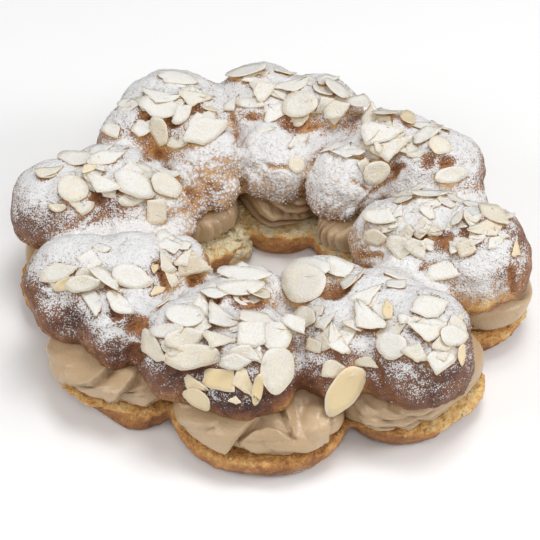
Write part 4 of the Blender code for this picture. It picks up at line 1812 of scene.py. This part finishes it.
def bake_lid(mesh, tree):
    """Browning of the lid: dark outside and in front, golden in creases and towards the hole. The darker
    front and left side are painted shade, and some of its spots painted light and shade.
    """
    places = vertex_array(mesh)
    flat = vertex_array(mesh, "normal")[:, 2]
    outer = np.interp(ring_reach(places), (0.045, 0.062, 0.084, 0.100), (0.0, 0.45, 0.75, 1.0))
    brown = (0.30 + 0.42 * in_the_clear(mesh, tree)) * (0.45 + 0.55 * outer)
    # Painted shade: the lid is made browner towards the front and the left and paler towards the back,
    # following how the light falls on it.
    brown += 0.14 * np.clip(-places[:, 1] / 0.1, -0.6, 1) * outer
    brown += 0.05 * np.clip(-places[:, 0] / 0.1, -1, 1)
    for spot in BROWNED_AND_PAINTED_LIGHT:
        brown += (spot.brown - brown) * BROWN_SPOT_SHARE * nearness(places / MM, spot)
    hidden = read_attribute(mesh, "sheltered")
    brown += (HIDDEN_BROWN - brown) * 0.8 * hidden
    # The pale band just above the cut runs unevenly, and is narrower at the right.
    ragged = np.array([smooth_noise(Vector(place) / 0.006) for place in places])
    wide = np.array([smooth_noise(Vector(place) / 0.03) for place in places])
    height = places[:, 2] - LID_FLOOR + 0.0028 * ragged + 0.0042 * wide
    height += 0.0035 * np.interp(places[:, 0], (0.0, 0.03), (0, 1)) * outer
    cut = np.interp(height, (0.0035, 0.0055, 0.0080), (1.0, 0.8, 0.0))
    write_attribute(mesh, "crumb", np.clip(1.8 * cut + 1.6 * hidden, 0, 1.8))
    brown += (0.34 + 0.18 * outer - brown) * cut * 0.8
    brown -= 0.25 * (flat < -0.8)
    brown += 0.12 * read_attribute(mesh, "pit")
    return np.clip(spread_out(mesh, brown, 2), 0.02, 1)


# Where the cut face of the base is paler beyond the cream, and by how much.
PALE_LEDGE = BrownSpot(89, -74, 14, 18, -0.12)


def bake_base(mesh, tree):
    """Browning of the base: pale crumb where it was cut, golden at its rim and brown below."""
    places = vertex_array(mesh)
    flat = vertex_array(mesh, "normal")[:, 2]
    height = places[:, 2]
    wall = 0.42 + 0.16 * in_the_clear(mesh, tree) - 0.16 * np.interp(height, (0.006, 0.013), (0, 1))
    near_top = np.interp(height, (BASE_TOP - 0.005, BASE_TOP - 0.0035), (0, 1))
    ledge = np.interp(flat, (0.25, 0.65), (0, 1)) * near_top
    torn = read_attribute(mesh, "torn") * np.interp(height, (0.009, 0.0115), (0, 1))
    ledge = np.maximum(ledge, 0.9 * torn)
    write_attribute(mesh, "crumb", 0.45 + 0.35 * ledge)
    inner = np.interp(ring_reach(places), (0.045, 0.075), (1, 0))
    beside = np.interp(np.abs(places[:, 0]), (0.03, 0.08), (0, 1))
    cut = 0.27 - 0.24 * inner - 0.06 * beside + 0.08 * read_attribute(mesh, "pit")
    cut += PALE_LEDGE.brown * nearness(places / MM, PALE_LEDGE)
    brown = wall * (1 - ledge) + cut * ledge - 0.10 * inner * (1 - ledge)
    return np.clip(spread_out(mesh, brown, 1), 0.0, 1)


# ---------------------------------------------------------------- floor, light, camera


# The soft boxes: name, place, size and power.
SOFT_BOXES = (
    ("overhead", (0.15, 0.1, 1.3), 0.5, 7.5),
    ("front fill", (0.1, -0.85, 1.15), 0.5, 4.1),
    ("right fill", (1.1, -0.3, 0.75), 0.5, 7.0),
    ("left fill", (-1.0, -0.4, 0.75), 0.6, 5.1),
)


def studio():
    """A pale floor, a large soft light overhead, and fills from the front and both sides."""
    bpy.ops.mesh.primitive_plane_add(size=6)
    floor = bpy.context.object
    floor.name = "floor"
    material, tree, shader = new_material("pale floor", 0.8)
    shader.inputs["Base Color"].default_value = (0.93, 0.93, 0.93, 1)
    floor.data.materials.append(material)
    for name, place, size, power in SOFT_BOXES:
        light = bpy.data.lights.new(name, "AREA")
        light.shape = "SQUARE"
        light.size = size
        light.energy = power
        obj = bpy.data.objects.new(name, light)
        obj.location = place
        obj.rotation_euler = (RING_CENTRE - Vector(place)).to_track_quat("-Z", "Y").to_euler()
        bpy.context.scene.collection.objects.link(obj)
    world = bpy.data.worlds.new("studio")
    world.use_nodes = True
    sky = world.node_tree.nodes["Background"]
    sky.inputs["Color"].default_value = (1, 1, 1, 1)
    sky.inputs["Strength"].default_value = 0.22
    bpy.context.scene.world = world
    bpy.context.scene.view_settings.view_transform = "Standard"


def camera():
    """Looks down on the front of the pastry from a metre away."""
    rise = math.radians(47.4)
    tilt = math.radians(43.504)
    turn = math.radians(0.339)
    lens = bpy.data.cameras.new("camera")
    lens.sensor_width = 36
    lens.lens = 136
    lens.clip_start = 0.05
    obj = bpy.data.objects.new("camera", lens)
    obj.location = RING_CENTRE + Vector((0, -math.cos(rise), math.sin(rise)))
    obj.rotation_euler = (tilt, 0, turn)
    bpy.context.scene.collection.objects.link(obj)
    bpy.context.scene.camera = obj


# ---------------------------------------------------------------- making


def finish_lid(mesh, above):
    """Marks how sugared and how brown the lid is. Returns how much each vertex is a bun's heel."""
    places = vertex_array(mesh)
    heel = heel_share(places)
    steep = np.interp(vertex_array(mesh, "normal")[:, 2], (-0.45, -0.1, 0.6), (0, 1, 0.3))
    fallen = spread_out(mesh, settled_sugar(mesh, above), 1)
    fallen += 0.26 * heel * steep + sugar_and_painted_light(places)
    hidden = spread_out(mesh, read_attribute(mesh, "sheltered"), 1)
    write_attribute(mesh, "sugar", np.clip(fallen, 0, 1) * (1 - 0.8 * hidden))
    write_attribute(mesh, "coarse", heel)
    write_attribute(mesh, "bake", bake_lid(mesh, above))
    return heel


def finish_flakes(mesh, above):
    """Marks how sugared the flakes are: less where they are bare or toasted."""
    kept = 1 - 0.75 * read_attribute(mesh, "bare")
    kept *= 1 - 0.20 * read_attribute(mesh, "tint")
    write_attribute(mesh, "sugar", settled_sugar(mesh, above) * kept)


# Where sugar was spilt on the base: a line in millimetres, how far from it, and how much.
SPILT_LINE = ((6, -108, 7), (16, -107, 6))
SPILT_REACH = 5
SPILT_SUGAR = 0.60


def finish_base(mesh, above):
    """Marks how sugared and how brown the base is."""
    away = off_the_line(vertex_array(mesh) / MM, SPILT_LINE)
    spilt = SPILT_SUGAR * np.exp(-((away / SPILT_REACH) ** 2))
    write_attribute(mesh, "sugar", np.maximum(0.14 * settled_sugar(mesh, above), spilt))
    write_attribute(mesh, "bake", bake_base(mesh, joined_tree([mesh])))


def finish_torn(mesh):
    """Marks the torn crumb: pale, browner at its foot, and lightly sugared."""
    height = vertex_array(mesh)[:, 2]
    low = np.interp(height, (0.002, 0.008), (1, 0))
    write_attribute(mesh, "bake", -0.02 + 0.22 * low + 0.07 * read_attribute(mesh, "pit"))
    write_attribute(mesh, "crumb", np.ones(len(height)))
    write_attribute(mesh, "sugar", 0.16 + 0.14 * low)
    write_attribute(mesh, "coarse", np.ones(len(height)))


def strew_sugar(mesh, heel, grains):
    """The coarser clumps of icing sugar: where the dusting is thin, and most on the heels."""
    sugar = read_attribute(mesh, "sugar")
    between = np.interp(sugar, (0.10, 0.30, 0.55, 0.80), (0, 1, 1, 0.1))
    between *= 0.18 + 0.82 * heel
    settings = {"Apart": 0.0011, "Most": 300000.0, "Finish": sugar_material()}
    return strew("icing_sugar", mesh, between, grains, settings)


def strew_crumbs(mesh, grains):
    """Loose crumbs on the ledge of the base."""
    ledge = read_attribute(mesh, "crumb") > 0.7
    settings = {
        "Apart": 0.004,
        "Most": 9000.0,
        "Smallest": 0.0004,
        "Largest": 0.0011,
        "Grown": 0.0,
        "Uneven": 0.5,
        "Roundness": 2,
        "Seed": 11,
        "Finish": crumb_material(),
    }
    return strew("crumbs", mesh, np.where(ledge, 1.0, 0.0), grains, settings)


def make_lid(relief, finish):
    """The upper half's crust, with a fine fray along its cut."""
    settings = {"Crumb Above": 1.0, "Frayed": 0.0009, "Cut At": LID_FLOOR, "Finish": finish}
    return crust("lid_crust", "lid_crown", LID_VOXEL, LID_SMOOTHING, swell, relief, settings)


def make_base(relief, finish):
    """The lower half's crust, with open crumb on its cut face and a ragged rim."""
    settings = {
        "Bulge Height": 0.0015,
        "Lump Size": 0.011,
        "Lump Height": 0.0009,
        "Blister Height": 0.0005,
        "Crumb Above": BASE_TOP - 0.004,
        "Ragged": 0.0012,
        "Level Below": 0.0002,
        "Shift": 3.0,
        "Finish": finish,
    }
    return crust("base_crust", "base_crown", BASE_VOXEL, BASE_SMOOTHING, fray_base, relief, settings)


def main():
    camera()
    studio()
    browning = browning_group()
    dusting = dusting_group()
    relief = crust_relief_group()
    lid = make_lid(relief, crust_material("choux crust", browning, dusting, 0.44, 0.5))
    base = make_base(relief, crust_material("cut choux", browning, dusting, 0.38, 0.6))
    flakes = almond_flakes(lid.data, almond_material(dusting))
    above = joined_tree((lid.data, flakes.data))
    heel = finish_lid(lid.data, above)
    finish_flakes(flakes.data, above)
    finish_base(base.data, above)
    cream = pipe_cream(cream_material())
    torn = torn_crumb(relief, crust_material("open crumb", browning, dusting, 0.12, 0.75))
    finish_torn(torn.data)
    grains = grains_group()
    white = strew_sugar(lid.data, heel, grains)
    bits = strew_crumbs(base.data, grains)
    for piece, label in ((torn, "base_crust"), (white, "lid_crust"), (bits, "base_crust")):
        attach(piece, "root")
    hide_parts("lid_crown")
    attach(lid, "root")
    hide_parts("base_crown")
    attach(base, "root")
    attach(flakes, "root")
    for number, dollop in enumerate(cream, start=1):
        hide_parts(f"cream_{number}")
        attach(dollop, "root")


main()
